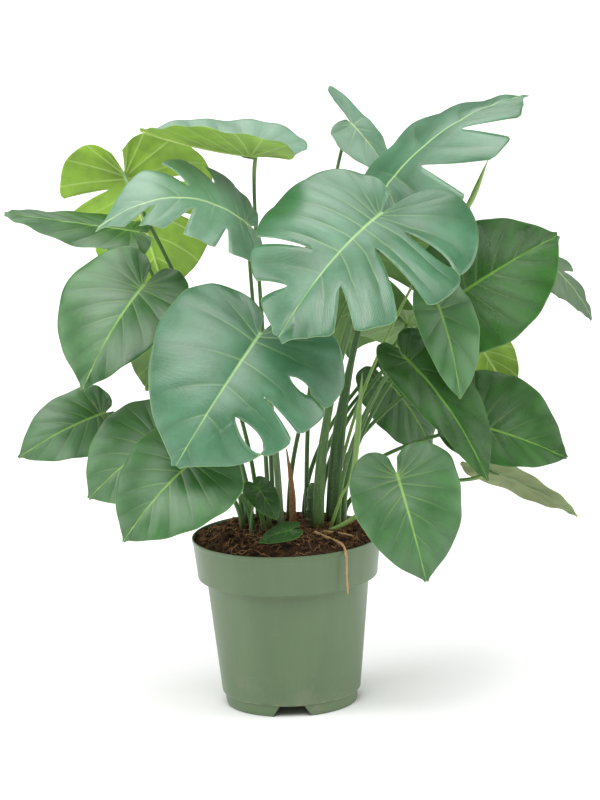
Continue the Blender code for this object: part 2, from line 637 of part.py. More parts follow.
def make_root_on_soil():
    """Aerial root that lies on the heap and ends on its slope."""
    angle = math.radians(-32.0)
    outward = Vector((math.cos(angle), math.sin(angle), 0.0))
    heights = Vector((0.0, 0.0, 1.0))
    rest = HEAP_TOP + ROOT_RADIUS + GAP
    controls = [
        outward * 0.064 + heights * rest,
        outward * HEAP_RADIUS + heights * (rest + 0.001),
        outward * (HEAP_RADIUS + 0.026) + heights * (rest - 0.001),
    ]
    points = smooth_points(controls, 7)
    radii = [ROOT_RADIUS * (0.9 - 0.5 * number / 6.0) for number in range(7)]
    return add_tube("aerial_root_short", points, radii, TAN, 0.85)


def main():
    clear_scene()
    make_collection(COLLECTION)
    make_collection(CUTTERS)
    make_pot()
    make_soil()
    make_main_stem()
    for entry in LEAVES:
        make_blade(entry)
        make_stalk(entry)
    make_rolled_leaf(
        "rolled_leaf_right", (0.056, 0.032),
        [(0.120, 0.034, 0.20), (0.215, 0.050, 0.38), (0.270, 0.035, 0.45), (0.300, 0.030, 0.515)],
        LIME,
    )
    make_rolled_leaf(
        "rolled_leaf_centre", (0.062, -0.010),
        [(0.078, -0.034, 0.05), (0.098, -0.052, 0.10), (0.114, -0.056, 0.235)],
        LIME,
    )
    make_dried_sheath()
    make_root_over_rim()
    make_root_on_soil()


main()
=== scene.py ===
import math
import random

import bpy
import numpy as np
from mathutils import Matrix, Vector


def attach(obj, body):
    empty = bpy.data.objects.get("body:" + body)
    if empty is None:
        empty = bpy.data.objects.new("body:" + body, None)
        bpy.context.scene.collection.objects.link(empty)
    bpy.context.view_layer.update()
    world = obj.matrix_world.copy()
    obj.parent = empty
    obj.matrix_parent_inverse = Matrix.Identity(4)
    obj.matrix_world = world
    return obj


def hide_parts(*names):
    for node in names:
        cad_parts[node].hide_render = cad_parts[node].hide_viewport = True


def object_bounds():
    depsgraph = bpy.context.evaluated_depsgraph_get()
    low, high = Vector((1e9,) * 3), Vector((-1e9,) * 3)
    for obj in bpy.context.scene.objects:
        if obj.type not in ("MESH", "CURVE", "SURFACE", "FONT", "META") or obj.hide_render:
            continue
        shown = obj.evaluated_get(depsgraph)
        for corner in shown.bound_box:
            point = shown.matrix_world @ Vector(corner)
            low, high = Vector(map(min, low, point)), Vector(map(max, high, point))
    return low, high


# A monstera in a nursery pot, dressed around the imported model.
# Metres, +Z up, the middle of the pot's foot at the origin, the front towards -Y.

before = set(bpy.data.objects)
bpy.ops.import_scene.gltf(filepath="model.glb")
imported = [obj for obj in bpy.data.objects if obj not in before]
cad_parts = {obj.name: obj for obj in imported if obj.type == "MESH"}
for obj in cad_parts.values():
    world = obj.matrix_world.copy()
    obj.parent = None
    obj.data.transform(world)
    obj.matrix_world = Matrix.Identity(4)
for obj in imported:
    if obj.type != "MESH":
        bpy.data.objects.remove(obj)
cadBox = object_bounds()
print("frame loaded,", len(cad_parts), "nodes")


# camera, floor and light

view = {
    "place": (0.029, -4.90, 1.46),
    "lookAt": (0.0255, 0.0, 0.437),
    "lens": 159.5,
    "lean": -1.9,  # degrees, the top of the plant to the left
}
studio = {
    "glow": 0.27,  # the room's light on the plant
    "background": 1.0,
    "floorSize": 60.0,
    "floorColour": (0.94, 0.94, 0.94),
    "lamps": {  # where it shines from, how wide its glow is in degrees, and its strength
        "left": {"from": (-1.0, -0.22, 0.50), "width": 44.0, "strength": 1.50},
        "right": {"from": (1.0, -0.15, 0.42), "width": 44.0, "strength": 1.30},
        "top": {"from": (-0.12, 0.42, 0.90), "width": 44.0, "strength": 1.60},
        "front": {"from": (-0.06, -0.55, 0.82), "width": 38.0, "strength": 2.10},
    },
}


def aimed(place, lookAt, roll=0.0):
    turn = (Vector(lookAt) - Vector(place)).to_track_quat("-Z", "Y").to_matrix()
    return Matrix.Translation(place) @ (turn @ Matrix.Rotation(math.radians(roll), 3, "Z")).to_4x4()


def makeStudio():
    lens = bpy.data.cameras.new("camera")
    lens.lens = view["lens"]
    lens.sensor_width = 36.0
    lens.clip_end = 60.0
    camera = bpy.data.objects.new("camera", lens)
    camera.matrix_world = aimed(view["place"], view["lookAt"], view["lean"])
    bpy.context.scene.collection.objects.link(camera)
    bpy.context.scene.camera = camera
    for name, lamp in studio["lamps"].items():
        light = bpy.data.lights.new(name, "SUN")
        light.angle = math.radians(lamp["width"])
        light.energy = lamp["strength"]
        lampObject = bpy.data.objects.new(name, light)
        lampObject.matrix_world = aimed(lamp["from"], (0.0, 0.0, 0.0))
        bpy.context.scene.collection.objects.link(lampObject)
    world = bpy.data.worlds.new("softRoom")
    world.use_nodes = True
    sky = world.node_tree.nodes["Background"]
    seen = world.node_tree.nodes.new("ShaderNodeLightPath").outputs["Is Camera Ray"]
    strength = world.node_tree.nodes.new("ShaderNodeMapRange")
    strength.inputs["To Min"].default_value = studio["glow"]
    strength.inputs["To Max"].default_value = studio["background"]
    world.node_tree.links.new(seen, strength.inputs["Value"])
    world.node_tree.links.new(strength.outputs["Result"], sky.inputs["Strength"])
    sky.inputs["Color"].default_value = (1.0, 1.0, 1.0, 1.0)
    bpy.context.scene.world = world
    bpy.context.scene.view_settings.view_transform = "Standard"


makeStudio()
print("camera and lights set")


# material wiring

class Wiring:
    def __init__(self, name):
        self.material = bpy.data.materials.new(name)
        self.material.use_nodes = True
        self.tree = self.material.node_tree
        self.shader = self.tree.nodes["Principled BSDF"]

    def node(self, kind, inputs=None, **settings):
        made = self.tree.nodes.new(kind)
        for key, value in settings.items():
            setattr(made, key, value)
        for key, value in (inputs or {}).items():
            self.put(made.inputs[key], value)
        return made

    def put(self, socket, value):
        if isinstance(value, bpy.types.NodeSocket):
            self.tree.links.new(value, socket)
        elif isinstance(value, tuple) and len(value) == 3 and socket.type == "RGBA":
            socket.default_value = (*value, 1.0)
        else:
            socket.default_value = value

    def attribute(self, name):
        return self.node("ShaderNodeAttribute", attribute_name=name).outputs["Fac"]

    def maths(self, operation, a, b=0.5):
        return self.node("ShaderNodeMath", {0: a, 1: b}, operation=operation).outputs[0]

    def plus(self, a, b):
        return self.maths("ADD", a, b)

    def times(self, a, b):
        return self.maths("MULTIPLY", a, b)

    def fade(self, value, start, end, low=0.0, high=1.0):
        made = self.node("ShaderNodeMapRange", {
            "Value": value, "From Min": start, "From Max": end, "To Min": low, "To Max": high,
        }, interpolation_type="SMOOTHSTEP")
        return made.outputs["Result"]

    def blend(self, factor, a, b, how="MIX"):
        made = self.node("ShaderNodeMix", data_type="RGBA", blend_type=how)
        self.put(made.inputs["Factor"], factor)
        self.put(made.inputs[6], a)
        self.put(made.inputs[7], b)
        return made.outputs[2]

    def place(self, stretch=(1.0, 1.0, 1.0)):
        spot = self.node("ShaderNodeTexCoord").outputs["Object"]
        return self.node("ShaderNodeMapping", {"Vector": spot, "Scale": stretch}).outputs["Vector"]

    def grain(self, scale, detail=3.0, rough=0.55, where=None):
        inputs = {"Scale": scale, "Detail": detail, "Roughness": rough}
        inputs["Vector"] = where if where is not None else self.place()
        return self.node("ShaderNodeTexNoise", inputs).outputs["Fac"]

    def bump(self, height, distance, strength=1.0):
        made = self.node("ShaderNodeBump", {"Height": height, "Distance": distance, "Strength": strength})
        return made.outputs["Normal"]

    def finish(self, **sockets):
        for key, value in sockets.items():
            words = {"colour": "Base Color", "rough": "Roughness", "normal": "Normal",
                     "specular": "Specular IOR Level", "coat": "Coat Weight",
                     "coatRough": "Coat Roughness", "sheen": "Sheen Weight",
                     "sheenRough": "Sheen Roughness"}
            self.put(self.shader.inputs[words[key]], value)
        return self.material


# leaf materials: one for the face and one for the underside of each tone

leafTones = {
    "blueGreen": {"dark": (0.016, 0.100, 0.034), "light": (0.050, 0.200, 0.098), "vein": (0.30, 0.52, 0.18),
                  "under": (0.16, 0.30, 0.08), "gloss": 0.33, "shine": 0.95, "coat": 0.15},
    "midGreen": {"dark": (0.012, 0.082, 0.014), "light": (0.040, 0.165, 0.036), "vein": (0.22, 0.42, 0.07),
                 "under": (0.13, 0.27, 0.05), "gloss": 0.31, "shine": 0.80, "coat": 0.12},
    # the dark green's light end is set high enough for the painted sheen of a lightened half
    "darkGreen": {"dark": (0.008, 0.050, 0.004), "light": (0.030, 0.130, 0.018), "vein": (0.15, 0.33, 0.04),
                  "under": (0.11, 0.24, 0.04), "gloss": 0.27, "shine": 0.42, "coat": 0.0},
    "greyGreen": {"dark": (0.060, 0.120, 0.055), "light": (0.120, 0.190, 0.105), "vein": (0.28, 0.40, 0.20),
                  "under": (0.36, 0.44, 0.20), "gloss": 0.40, "shine": 0.50, "coat": 0.0},
    # a paler copy of the blue-green whose light colours paint the glare on the upper faces of these leaves
    "paintedGlareGreen": {"dark": (0.070, 0.190, 0.100), "light": (0.150, 0.310, 0.200), "vein": (0.40, 0.56, 0.28),
                    "under": (0.20, 0.36, 0.09), "gloss": 0.36, "shine": 0.95, "coat": 0.15},
    # the lime underside is the leaf's own yellow-green, lightened further as a painted glow of light shining
    # through the thin leaf
    "lime": {"dark": (0.130, 0.330, 0.014), "light": (0.260, 0.500, 0.032), "vein": (0.60, 0.78, 0.26),
             "under": (0.33, 0.60, 0.050), "gloss": 0.42, "shine": 0.60, "coat": 0.05},
}


veinlets = {"around": 75.0, "outward": 5.0, "distortion": 3.2, "detail": 3.0, "detailScale": 1.4}


def veinNet(wire, out, around):
    # the fine net between the side veins
    lines = wire.node("ShaderNodeCombineXYZ", {
        0: wire.times(around, veinlets["around"]), 1: wire.times(out, veinlets["outward"]),
    }).outputs[0]
    return wire.node("ShaderNodeTexWave", {
        "Vector": lines, "Scale": 1.0, "Distortion": veinlets["distortion"], "Detail": veinlets["detail"],
        "Detail Scale": veinlets["detailScale"],
    }, bands_direction="X").outputs["Fac"]


def leafFace(name, tone):
    wire = Wiring(name)
    out, around = wire.attribute("out"), wire.attribute("around")
    sideVein, midVein = wire.attribute("sideVein"), wire.attribute("midVein")
    edge, tintAndPaintedLight = wire.attribute("edgeNear"), wire.attribute("tintAndPaintedLight")
    cloud = wire.grain(16.0, 4.0, 0.6)
    fleck = wire.grain(240.0, 2.0, 0.5)
    mixBy = wire.plus(wire.times(cloud, 1.1), wire.times(fleck, 0.25))
    # each leaf half's own offset lightens or darkens its face: painted sheen and painted shade
    mixBy = wire.plus(mixBy, tintAndPaintedLight)
    colour = wire.blend(wire.fade(mixBy, 0.35, 1.05), tone["dark"], tone["light"])
    paintedValleyShade = wire.fade(sideVein, 0.0, 0.012, 0.45, 0.0)  # painted shade in the valley beside each vein
    colour = wire.blend(paintedValleyShade, colour, tone["dark"])
    veinlet = veinNet(wire, out, around)
    colour = wire.blend(wire.fade(veinlet, 0.72, 1.0, 0.0, 0.14), colour, tone["vein"])
    thin = wire.fade(out, 0.15, 1.0, 0.0016, 0.0006)
    sideMask = wire.maths("SUBTRACT", 1.0, wire.fade(wire.maths("DIVIDE", sideVein, thin), 0.3, 1.3))
    sideMask = wire.times(sideMask, wire.fade(out, 0.10, 0.9, 0.30, 0.05))
    colour = wire.blend(sideMask, colour, tone["vein"])
    midMask = wire.maths("SUBTRACT", 1.0, wire.fade(midVein, 0.45, 1.25))
    colour = wire.blend(wire.times(midMask, 0.9), colour, tone["vein"])
    rimMask = wire.maths("SUBTRACT", 1.0, wire.fade(edge, 0.0003, 0.0011))
    colour = wire.blend(wire.times(rimMask, 0.5), colour, tone["vein"])
    height = wire.plus(wire.times(veinlet, 0.5), wire.times(fleck, 0.35))
    height = wire.plus(height, wire.fade(wire.maths("DIVIDE", sideVein, thin), 0.2, 1.6))
    normal = wire.bump(height, 0.00035, 0.7)
    rough = wire.plus(wire.fade(cloud, 0.3, 0.7, tone["gloss"] - 0.03, tone["gloss"] + 0.07),
                       wire.times(midMask, 0.12))
    return wire.finish(colour=colour, rough=rough, normal=normal, specular=tone["shine"], coat=tone["coat"],
                       coatRough=0.28)


def leafUnder(name, tone):
    wire = Wiring(name)
    out, around = wire.attribute("out"), wire.attribute("around")
    sideVein, midVein = wire.attribute("sideVein"), wire.attribute("midVein")
    cloud = wire.grain(22.0, 4.0, 0.6)
    fleck = wire.grain(300.0, 2.0, 0.6)
    deep = tuple(part * 0.62 for part in tone["under"])
    colour = wire.blend(wire.fade(cloud, 0.3, 0.7), deep, tone["under"])
    veinlet = veinNet(wire, out, around)
    colour = wire.blend(wire.fade(veinlet, 0.70, 1.0, 0.0, 0.30), colour, tone["vein"])
    sideMask = wire.maths("SUBTRACT", 1.0, wire.fade(sideVein, 0.0005, 0.0020))
    midMask = wire.maths("SUBTRACT", 1.0, wire.fade(midVein, 0.8, 1.8))
    mask = wire.maths("MAXIMUM", wire.times(sideMask, 0.48), wire.times(midMask, 0.85))
    colour = wire.blend(mask, colour, tone["vein"])
    height = wire.plus(wire.times(veinlet, 0.7), wire.times(fleck, 0.4))
    normal = wire.bump(height, 0.0004, 0.8)
    rough = wire.fade(cloud, 0.3, 0.7, 0.50, 0.62)
    return wire.finish(colour=colour, rough=rough, normal=normal, specular=0.40, sheen=0.05, sheenRough=0.5)


leafMaterials = {}
for toneName, tone in leafTones.items():
    leafMaterials[toneName] = (leafFace(toneName + "Face", tone), leafUnder(toneName + "Under", tone))


# materials of the other pieces

stalkFinish = {"fleck": (0.42, 0.52, 0.24), "blotch": (0.16, 0.14, 0.05), "knee": (0.25, 0.40, 0.12),
               "foot": (0.10, 0.07, 0.03)}
potFinish = {"dark": (0.080, 0.132, 0.058), "light": (0.098, 0.156, 0.072), "cloud": (0.120, 0.178, 0.092),
             "dust": (0.30, 0.27, 0.20), "scuff": (0.17, 0.23, 0.135), "worn": (0.34, 0.40, 0.27)}
soilFinish = {"dark": (0.016, 0.008, 0.004), "light": (0.125, 0.058, 0.026), "crumb": (0.190, 0.100, 0.050)}


def stalkSkin(name, green, pale):
    wire = Wiring(name)
    along, knee = wire.attribute("along"), wire.attribute("knee")
    round_ = wire.attribute("round")
    where = wire.node("ShaderNodeCombineXYZ", {0: wire.times(round_, 9.0),
                                               1: wire.times(along, 14.0)}).outputs[0]
    streak = wire.grain(1.6, 4.0, 0.6, where)
    fleck = wire.grain(420.0, 2.0, 0.6)
    blotch = wire.grain(30.0, 3.0, 0.6)
    colour = wire.blend(wire.fade(streak, 0.35, 0.72), green, pale)
    colour = wire.blend(wire.fade(fleck, 0.60, 0.78, 0.0, 0.45), colour, stalkFinish["fleck"])
    colour = wire.blend(wire.fade(blotch, 0.62, 0.80, 0.0, 0.30), colour, stalkFinish["blotch"])
    colour = wire.blend(wire.times(knee, 0.75), colour, stalkFinish["knee"])
    colour = wire.blend(wire.fade(along, 0.0, 0.03, 0.65, 0.0), colour, stalkFinish["foot"])
    height = wire.plus(streak, wire.times(fleck, 0.5))
    return wire.finish(colour=colour, rough=wire.fade(streak, 0.3, 0.7, 0.36, 0.50),
                       normal=wire.bump(height, 0.0004, 0.6), specular=0.5)


def potPlastic():
    wire = Wiring("potPlastic")
    flow = wire.grain(3.0, 5.0, 0.6, wire.place((6.0, 6.0, 1.2)))
    cloud = wire.grain(9.0, 4.0, 0.55)
    speck = wire.grain(700.0, 2.0, 0.5)
    colour = wire.blend(wire.fade(flow, 0.3, 0.7), potFinish["dark"], potFinish["light"])
    colour = wire.blend(wire.fade(cloud, 0.45, 0.8, 0.0, 0.25), colour, potFinish["cloud"])
    height = wire.node("ShaderNodeSeparateXYZ", {0: wire.place()}).outputs["Z"]
    dustCloud = wire.fade(wire.grain(28.0, 5.0, 0.7), 0.42, 0.75)
    dust = wire.times(wire.fade(height, 0.10, 0.0), dustCloud)
    colour = wire.blend(wire.times(dust, 0.30), colour, potFinish["dust"])
    scuffs = wire.grain(26.0, 3.0, 0.5, wire.place((1.0, 1.0, 14.0)))
    scuffMask = wire.fade(scuffs, 0.68, 0.78, 0.0, 0.30)
    colour = wire.blend(scuffMask, colour, potFinish["scuff"])
    ridge = wire.maths("ABSOLUTE", wire.maths("SUBTRACT", height, pot["footHeight"] + 0.0005))
    wornCloud = wire.fade(wire.grain(45.0, 4.0, 0.6), 0.40, 0.62)
    worn = wire.times(wire.fade(ridge, 0.0012, 0.0002), wornCloud)
    colour = wire.blend(wire.times(worn, 0.55), colour, potFinish["worn"])
    rough = wire.plus(wire.fade(cloud, 0.3, 0.7, 0.36, 0.46), wire.times(dust, 0.25))
    normal = wire.bump(wire.plus(speck, wire.times(flow, 0.6)), 0.00018, 0.55)
    return wire.finish(colour=colour, rough=rough, normal=normal, specular=0.55, coat=0.06, coatRough=0.30)


def soilEarth(name, spread):
    wire = Wiring(name)
    tintAndPaintedLight = wire.attribute("tintAndPaintedLight")
    lump = wire.grain(60.0, 5.0, 0.65)
    crumb = wire.grain(330.0, 4.0, 0.7)
    cells = wire.node("ShaderNodeTexVoronoi", {"Vector": wire.place(), "Scale": 190.0}).outputs["Distance"]
    by = wire.plus(wire.times(lump, 0.8), wire.times(tintAndPaintedLight, spread))
    colour = wire.blend(wire.fade(by, 0.25, 1.1), soilFinish["dark"], soilFinish["light"])
    colour = wire.blend(wire.fade(crumb, 0.58, 0.80, 0.0, 0.55), colour, soilFinish["crumb"])
    height = wire.plus(crumb, wire.times(cells, 0.8))
    return wire.finish(colour=colour, rough=wire.fade(lump, 0.3, 0.7, 0.80, 0.97),
                       normal=wire.bump(height, 0.0016, 1.0), specular=0.25)


def bark(name, dark, light, paper=0.0):
    wire = Wiring(name)
    along, round_ = wire.attribute("along"), wire.attribute("round")
    where = wire.node("ShaderNodeCombineXYZ", {0: wire.times(round_, 4.0),
                                               1: wire.times(along, 130.0)}).outputs[0]
    ring = wire.grain(1.5, 4.0, 0.6, where)
    fleck = wire.grain(500.0, 3.0, 0.6)
    colour = wire.blend(wire.fade(ring, 0.32, 0.70), dark, light)
    colour = wire.blend(wire.fade(fleck, 0.55, 0.75, 0.0, 0.4), colour, tuple(part * 0.45 for part in dark))
    height = wire.plus(ring, wire.times(fleck, 0.5))
    return wire.finish(colour=colour, rough=wire.fade(ring, 0.3, 0.7, 0.62, 0.85),
                       normal=wire.bump(height, 0.0007, 0.8), specular=0.3, sheen=paper, sheenRough=0.6)


def floorPaint():
    wire = Wiring("floorPaint")
    cloud = wire.grain(1.3, 3.0, 0.5)
    low = tuple(part * 0.985 for part in studio["floorColour"])
    colour = wire.blend(wire.fade(cloud, 0.35, 0.65), low, studio["floorColour"])
    normal = wire.bump(wire.grain(55.0, 3.0, 0.6), 0.0003, 0.3)
    return wire.finish(colour=colour, rough=wire.fade(cloud, 0.3, 0.7, 0.70, 0.80), normal=normal,
                       specular=0.2)


skins = {
    "plain": stalkSkin("stalkSkin", (0.045, 0.130, 0.022), (0.110, 0.230, 0.050)),
    "dark": stalkSkin("stalkSkinDark", (0.026, 0.085, 0.016), (0.070, 0.165, 0.035)),
    "grey": stalkSkin("stalkSkinGrey", (0.110, 0.190, 0.075), (0.200, 0.300, 0.130)),
    "pale": stalkSkin("stalkSkinPale", (0.190, 0.340, 0.075), (0.300, 0.460, 0.130)),
}
soilMaterial = soilEarth("soilEarth", 0.35)
crumbMaterial = soilEarth("soilCrumb", 0.9)
coirMaterial = bark("coirFibre", (0.26, 0.13, 0.055), (0.50, 0.28, 0.13))
rootMaterial = bark("rootBark", (0.36, 0.20, 0.085), (0.58, 0.38, 0.19))
sheathMaterial = bark("dryPaper", (0.28, 0.125, 0.045), (0.48, 0.27, 0.12), 0.1)
print("materials made")


# meshes

def addPiece(name, points, faces, materials, slot, node=None, values=None, kinds=None, flat=False):
    mesh = bpy.data.meshes.new(name)
    mesh.from_pydata(np.asarray(points).tolist(), [], faces)
    mesh.update()
    for label, numbers in (values or {}).items():
        attribute = mesh.attributes.new(label, "FLOAT", "POINT")
        attribute.data.foreach_set("value", np.asarray(numbers, np.float32))
    for material in materials:
        mesh.materials.append(material)
    if kinds is not None:
        mesh.polygons.foreach_set("material_index", np.asarray(kinds, np.int32))
    if not flat:
        mesh.shade_smooth()
    piece = bpy.data.objects.new(name, mesh)
    bpy.context.scene.collection.objects.link(piece)
    if slot is None:
        return piece
    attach(piece, "root")
    if node is not None:
        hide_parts(node)
    return piece


def unit(vectors):
    return vectors / np.maximum(np.linalg.norm(vectors, axis=-1, keepdims=True), 1e-12)


def curveAt(controls, place):
    # a smooth curve through the controls; place counts along them from the first
    padded = np.vstack([2.0 * controls[0] - controls[1], controls, 2.0 * controls[-1] - controls[-2]])
    span = np.minimum(place.astype(int), len(controls) - 2)
    t = (place - span)[..., None]
    a, b, c, d = (padded[span + shift] for shift in range(4))
    return 0.5 * (2.0 * b + (c - a) * t + (2.0 * a - 5.0 * b + 4.0 * c - d) * t**2
                  + (3.0 * b - a - 3.0 * c + d) * t**3)


def smoothPath(controls, count):
    controls = np.asarray(controls, float)
    return curveAt(controls, np.linspace(0.0, len(controls) - 1.0, count))


def sweep(path, radius, sides, section=None, upright=(0.0, 1.0, 0.0)):
    # rings along the path; section(angle, share, run) gives a ring's shape in its two directions
    path = np.asarray(path, float)
    heading = unit(np.gradient(path, axis=0))
    frames = []
    across = np.cross(heading[0], upright)
    for ahead in heading:
        across = unit(across - ahead * np.dot(across, ahead))
        frames.append((across, np.cross(ahead, across)))
    count = len(path)
    share = np.linspace(0.0, 1.0, count)
    angle = np.arange(sides) * 2.0 * math.pi / sides
    points, around, along = [], [], []
    run = np.concatenate([[0.0], np.cumsum(np.linalg.norm(np.diff(path, axis=0), axis=1))])
    for index in range(count):
        wide, deep = np.cos(angle), np.sin(angle)
        if section is not None:
            wide, deep = section(angle, share[index], run[index])
        first, second = frames[index]
        ring = path[index] + radius[index] * (wide[:, None] * first + deep[:, None] * second)
        points.append(ring)
        around.append(np.abs(((angle / math.pi) % 2.0) - 1.0))
        along.append(np.full(sides, run[index]))
    faces = []
    for row in range(count - 1):
        for column in range(sides):
            step = (column + 1) % sides
            faces.append((row * sides + column, row * sides + step,
                          (row + 1) * sides + step, (row + 1) * sides + column))
    faces.append(tuple(reversed(range(sides))))
    faces.append(tuple(range((count - 1) * sides, count * sides)))
    return np.vstack(points), faces, {"round": np.concatenate(around), "along": np.concatenate(along)}


# the pot

pot = {
    "height": 0.243, "rim": 0.135, "bandHeight": 0.058, "bandTaper": 0.007, "step": 0.012,
    "foot": 0.099, "footEdge": 0.094, "footHeight": 0.018, "wall": 0.0025, "floor": 0.003,
    "recess": 0.0175, "footWall": 0.004, "pad": 0.040,
    "notchTop": 0.035, "notchBottom": 0.057, "notchHeight": 0.016, "notches": 4,
    "drainRadius": 0.006, "drainRing": 0.066, "drains": 8, "turns": 144,
}


def bodyRadius(height):
    low, high = pot["footHeight"], pot["height"] - pot["bandHeight"]
    top = pot["rim"] - pot["bandTaper"] - pot["step"]
    return pot["foot"] + (top - pot["foot"]) * (height - low) / (high - low)


def innerRadius(height):
    shelf = pot["height"] - pot["bandHeight"]
    if height < shelf:
        return bodyRadius(height) - pot["wall"]
    share = (height - shelf) / pot["bandHeight"]
    return pot["rim"] - pot["bandTaper"] * (1.0 - share) - pot["wall"]


def softened(corners, reach, steps=4):
    # rounds each inner corner of an open profile with a short curve
    corners = [np.array(corner) for corner in corners]
    out = [corners[0]]
    for before, corner, after in zip(corners, corners[1:], corners[2:]):
        into, away = before - corner, after - corner
        near = min(reach, 0.45 * np.linalg.norm(into), 0.45 * np.linalg.norm(away))
        start, end = corner + unit(into) * near, corner + unit(away) * near
        for number in range(steps + 1):
            t = number / steps
            out.append(start * (1.0 - t) ** 2 + corner * 2.0 * t * (1.0 - t) + end * t**2)
    out.append(corners[-1])
    return out


def potProfile():
    height, rim, wall = pot["height"], pot["rim"], pot["wall"]
    shelf = height - pot["bandHeight"]
    bandFoot = rim - pot["bandTaper"]
    floorTop = pot["recess"] + pot["floor"]
    edge = pot["footEdge"] - pot["footWall"]
    outer = [
        (pot["pad"] - wall, pot["floor"]), (pot["pad"], floorTop), (innerRadius(floorTop) - 0.004, floorTop),
        (innerRadius(floorTop + 0.006), floorTop + 0.006), (innerRadius(0.10), 0.10),
        (innerRadius(shelf - 0.002), shelf - 0.002), (innerRadius(shelf + 0.002), shelf + 0.002),
        (innerRadius(height - 0.03), height - 0.03), (innerRadius(height) - 0.0006, height - 0.003),
        (innerRadius(height) + 0.0004, height), (rim - 0.0002, height), (rim, height - 0.0045),
        (rim - 0.0014, height - 0.0060), (rim - 0.0018, height - 0.012),
        (bandFoot + 0.0012, shelf + 0.012), (bandFoot + 0.0006, shelf + 0.004), (bandFoot, shelf),
        (bandFoot - 0.003, shelf - 0.0005), (bodyRadius(shelf - 0.001) + 0.002, shelf - 0.001),
        (bodyRadius(shelf - 0.006), shelf - 0.006), (bodyRadius(0.12), 0.12),
        (bodyRadius(pot["footHeight"]), pot["footHeight"]),
        (pot["foot"] - 0.0028, pot["footHeight"] - 0.0015), (pot["foot"] - 0.003, 0.006),
        (pot["footEdge"], 0.0), (edge, 0.0), (edge + 0.001, pot["recess"]),
        (pot["pad"] + wall, pot["recess"]), (pot["pad"], 0.0),
    ]
    return [np.array((0.0, pot["floor"]))] + softened(outer, 0.0014) + [np.array((0.0, 0.0))]


def turned(profile, turns):
    # a ring of points for each profile point, single points on the axis at both ends
    angle = np.arange(turns) * 2.0 * math.pi / turns
    points, faces = [(0.0, 0.0, profile[0][1])], []
    for radius, height in profile[1:-1]:
        points += [(radius * math.cos(a), radius * math.sin(a), height) for a in angle]
    points.append((0.0, 0.0, profile[-1][1]))
    last = len(points) - 1
    rings = len(profile) - 2
    for number in range(turns):
        step = (number + 1) % turns
        faces.append((0, 1 + number, 1 + step))
        for ring in range(rings - 1):
            low, high = 1 + ring * turns, 1 + (ring + 1) * turns
            faces.append((low + number, high + number, high + step, low + step))
        base = 1 + (rings - 1) * turns
        faces.append((last, base + step, base + number))
    return points, faces


def plainMesh(name, points, faces):
    mesh = bpy.data.meshes.new(name)
    mesh.from_pydata([tuple(point) for point in points], [], faces)
    mesh.update()
    shape = bpy.data.objects.new(name, mesh)
    bpy.context.scene.collection.objects.link(shape)
    return shape


def makePot():
    points, faces = turned(potProfile(), pot["turns"])
    body = plainMesh("potBody", points, faces)
    cutters = []
    for number in range(pot["notches"]):
        corners = []
        for low in (True, False):
            half = (pot["notchBottom"] if low else pot["notchTop"]) / 2.0
            rise = -0.001 if low else pot["notchHeight"]
            for x, y in ((-half, 0.016), (half, 0.016), (half, -0.016), (-half, -0.016)):
                corners.append(Matrix.Rotation(2.0 * math.pi * number / pot["notches"], 3, "Z")
                               @ Vector((x, -pot["foot"] + 0.001 + y, rise)))
        cutters.append(plainMesh("notch%d" % number, corners, [
            (0, 1, 2, 3), (7, 6, 5, 4), (0, 4, 5, 1), (1, 5, 6, 2), (2, 6, 7, 3), (3, 7, 4, 0)]))
    for number in range(pot["drains"]):
        angle = 2.0 * math.pi * (number + 0.5) / pot["drains"]
        centre = pot["drainRing"] * np.array((math.cos(angle), math.sin(angle)))
        ring = np.arange(24) * 2.0 * math.pi / 24
        radius = pot["drainRadius"]
        corners = [(centre[0] + radius * math.cos(a), centre[1] + radius * math.sin(a), z)
                   for z in (pot["recess"] - 0.006, pot["recess"] + 0.006) for a in ring]
        sides = [(i, (i + 1) % 24, 24 + (i + 1) % 24, 24 + i) for i in range(24)]
        cutters.append(plainMesh("drain%d" % number, corners,
                                 sides + [tuple(reversed(range(24))), tuple(range(24, 48))]))
    for cutter in cutters:
        hole = body.modifiers.new(cutter.name, "BOOLEAN")
        hole.operation = "DIFFERENCE"
        hole.solver = "EXACT"
        hole.object = cutter
    shown = bpy.context.evaluated_depsgraph_get()
    mesh = bpy.data.meshes.new_from_object(body.evaluated_get(shown))
    for shape in cutters + [body]:
        bpy.data.objects.remove(shape)
    mesh.materials.clear()
    mesh.materials.append(potMaterial)
    mesh.set_sharp_from_angle(angle=math.radians(38.0))
    piece = bpy.data.objects.new("nurseryPot", mesh)
    bpy.context.scene.collection.objects.link(piece)
    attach(piece, "root")
    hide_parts("pot")


potMaterial = potPlastic()
makePot()
print("pot turned")


# the soil

soil = {
    "heapTop": 0.25, "heapRadius": 0.085, "belowRim": 0.008, "clear": 0.0006,
    "rings": 44, "turns": 150, "lumps": 0.0046, "crumbs": 1100, "chips": 230, "fibres": 260,
}
heapTop = soil["heapTop"]


def lumpy(x, y, seed=0.0):
    # layered, warped sines, the same on every run
    value = np.zeros_like(x)
    for number, (size, share) in enumerate(((0.055, 0.40), (0.026, 0.32), (0.013, 0.26), (0.007, 0.18))):
        turn = 1.7 * number + seed
        u = (x * math.cos(turn) + y * math.sin(turn)) * 2.0 * math.pi / size
        v = (y * math.cos(turn) - x * math.sin(turn)) * 2.0 * math.pi / size
        value += share * np.sin(u + 1.3 * np.sin(0.61 * v + turn)) * np.sin(v + 1.1 * np.sin(0.73 * u))
    return value


def heapHeight(x, y):
    distance = np.hypot(x, y)
    edge = pot["height"] - soil["belowRim"]
    rimInner = innerRadius(edge) - soil["clear"]
    slope = np.clip((distance - soil["heapRadius"]) / (rimInner - soil["heapRadius"]), 0.0, 1.0)
    fade = 1.0 - 0.75 * slope**3
    return heapTop + 0.0012 - (heapTop - edge) * slope**1.3 + soil["lumps"] * fade * lumpy(x, y)


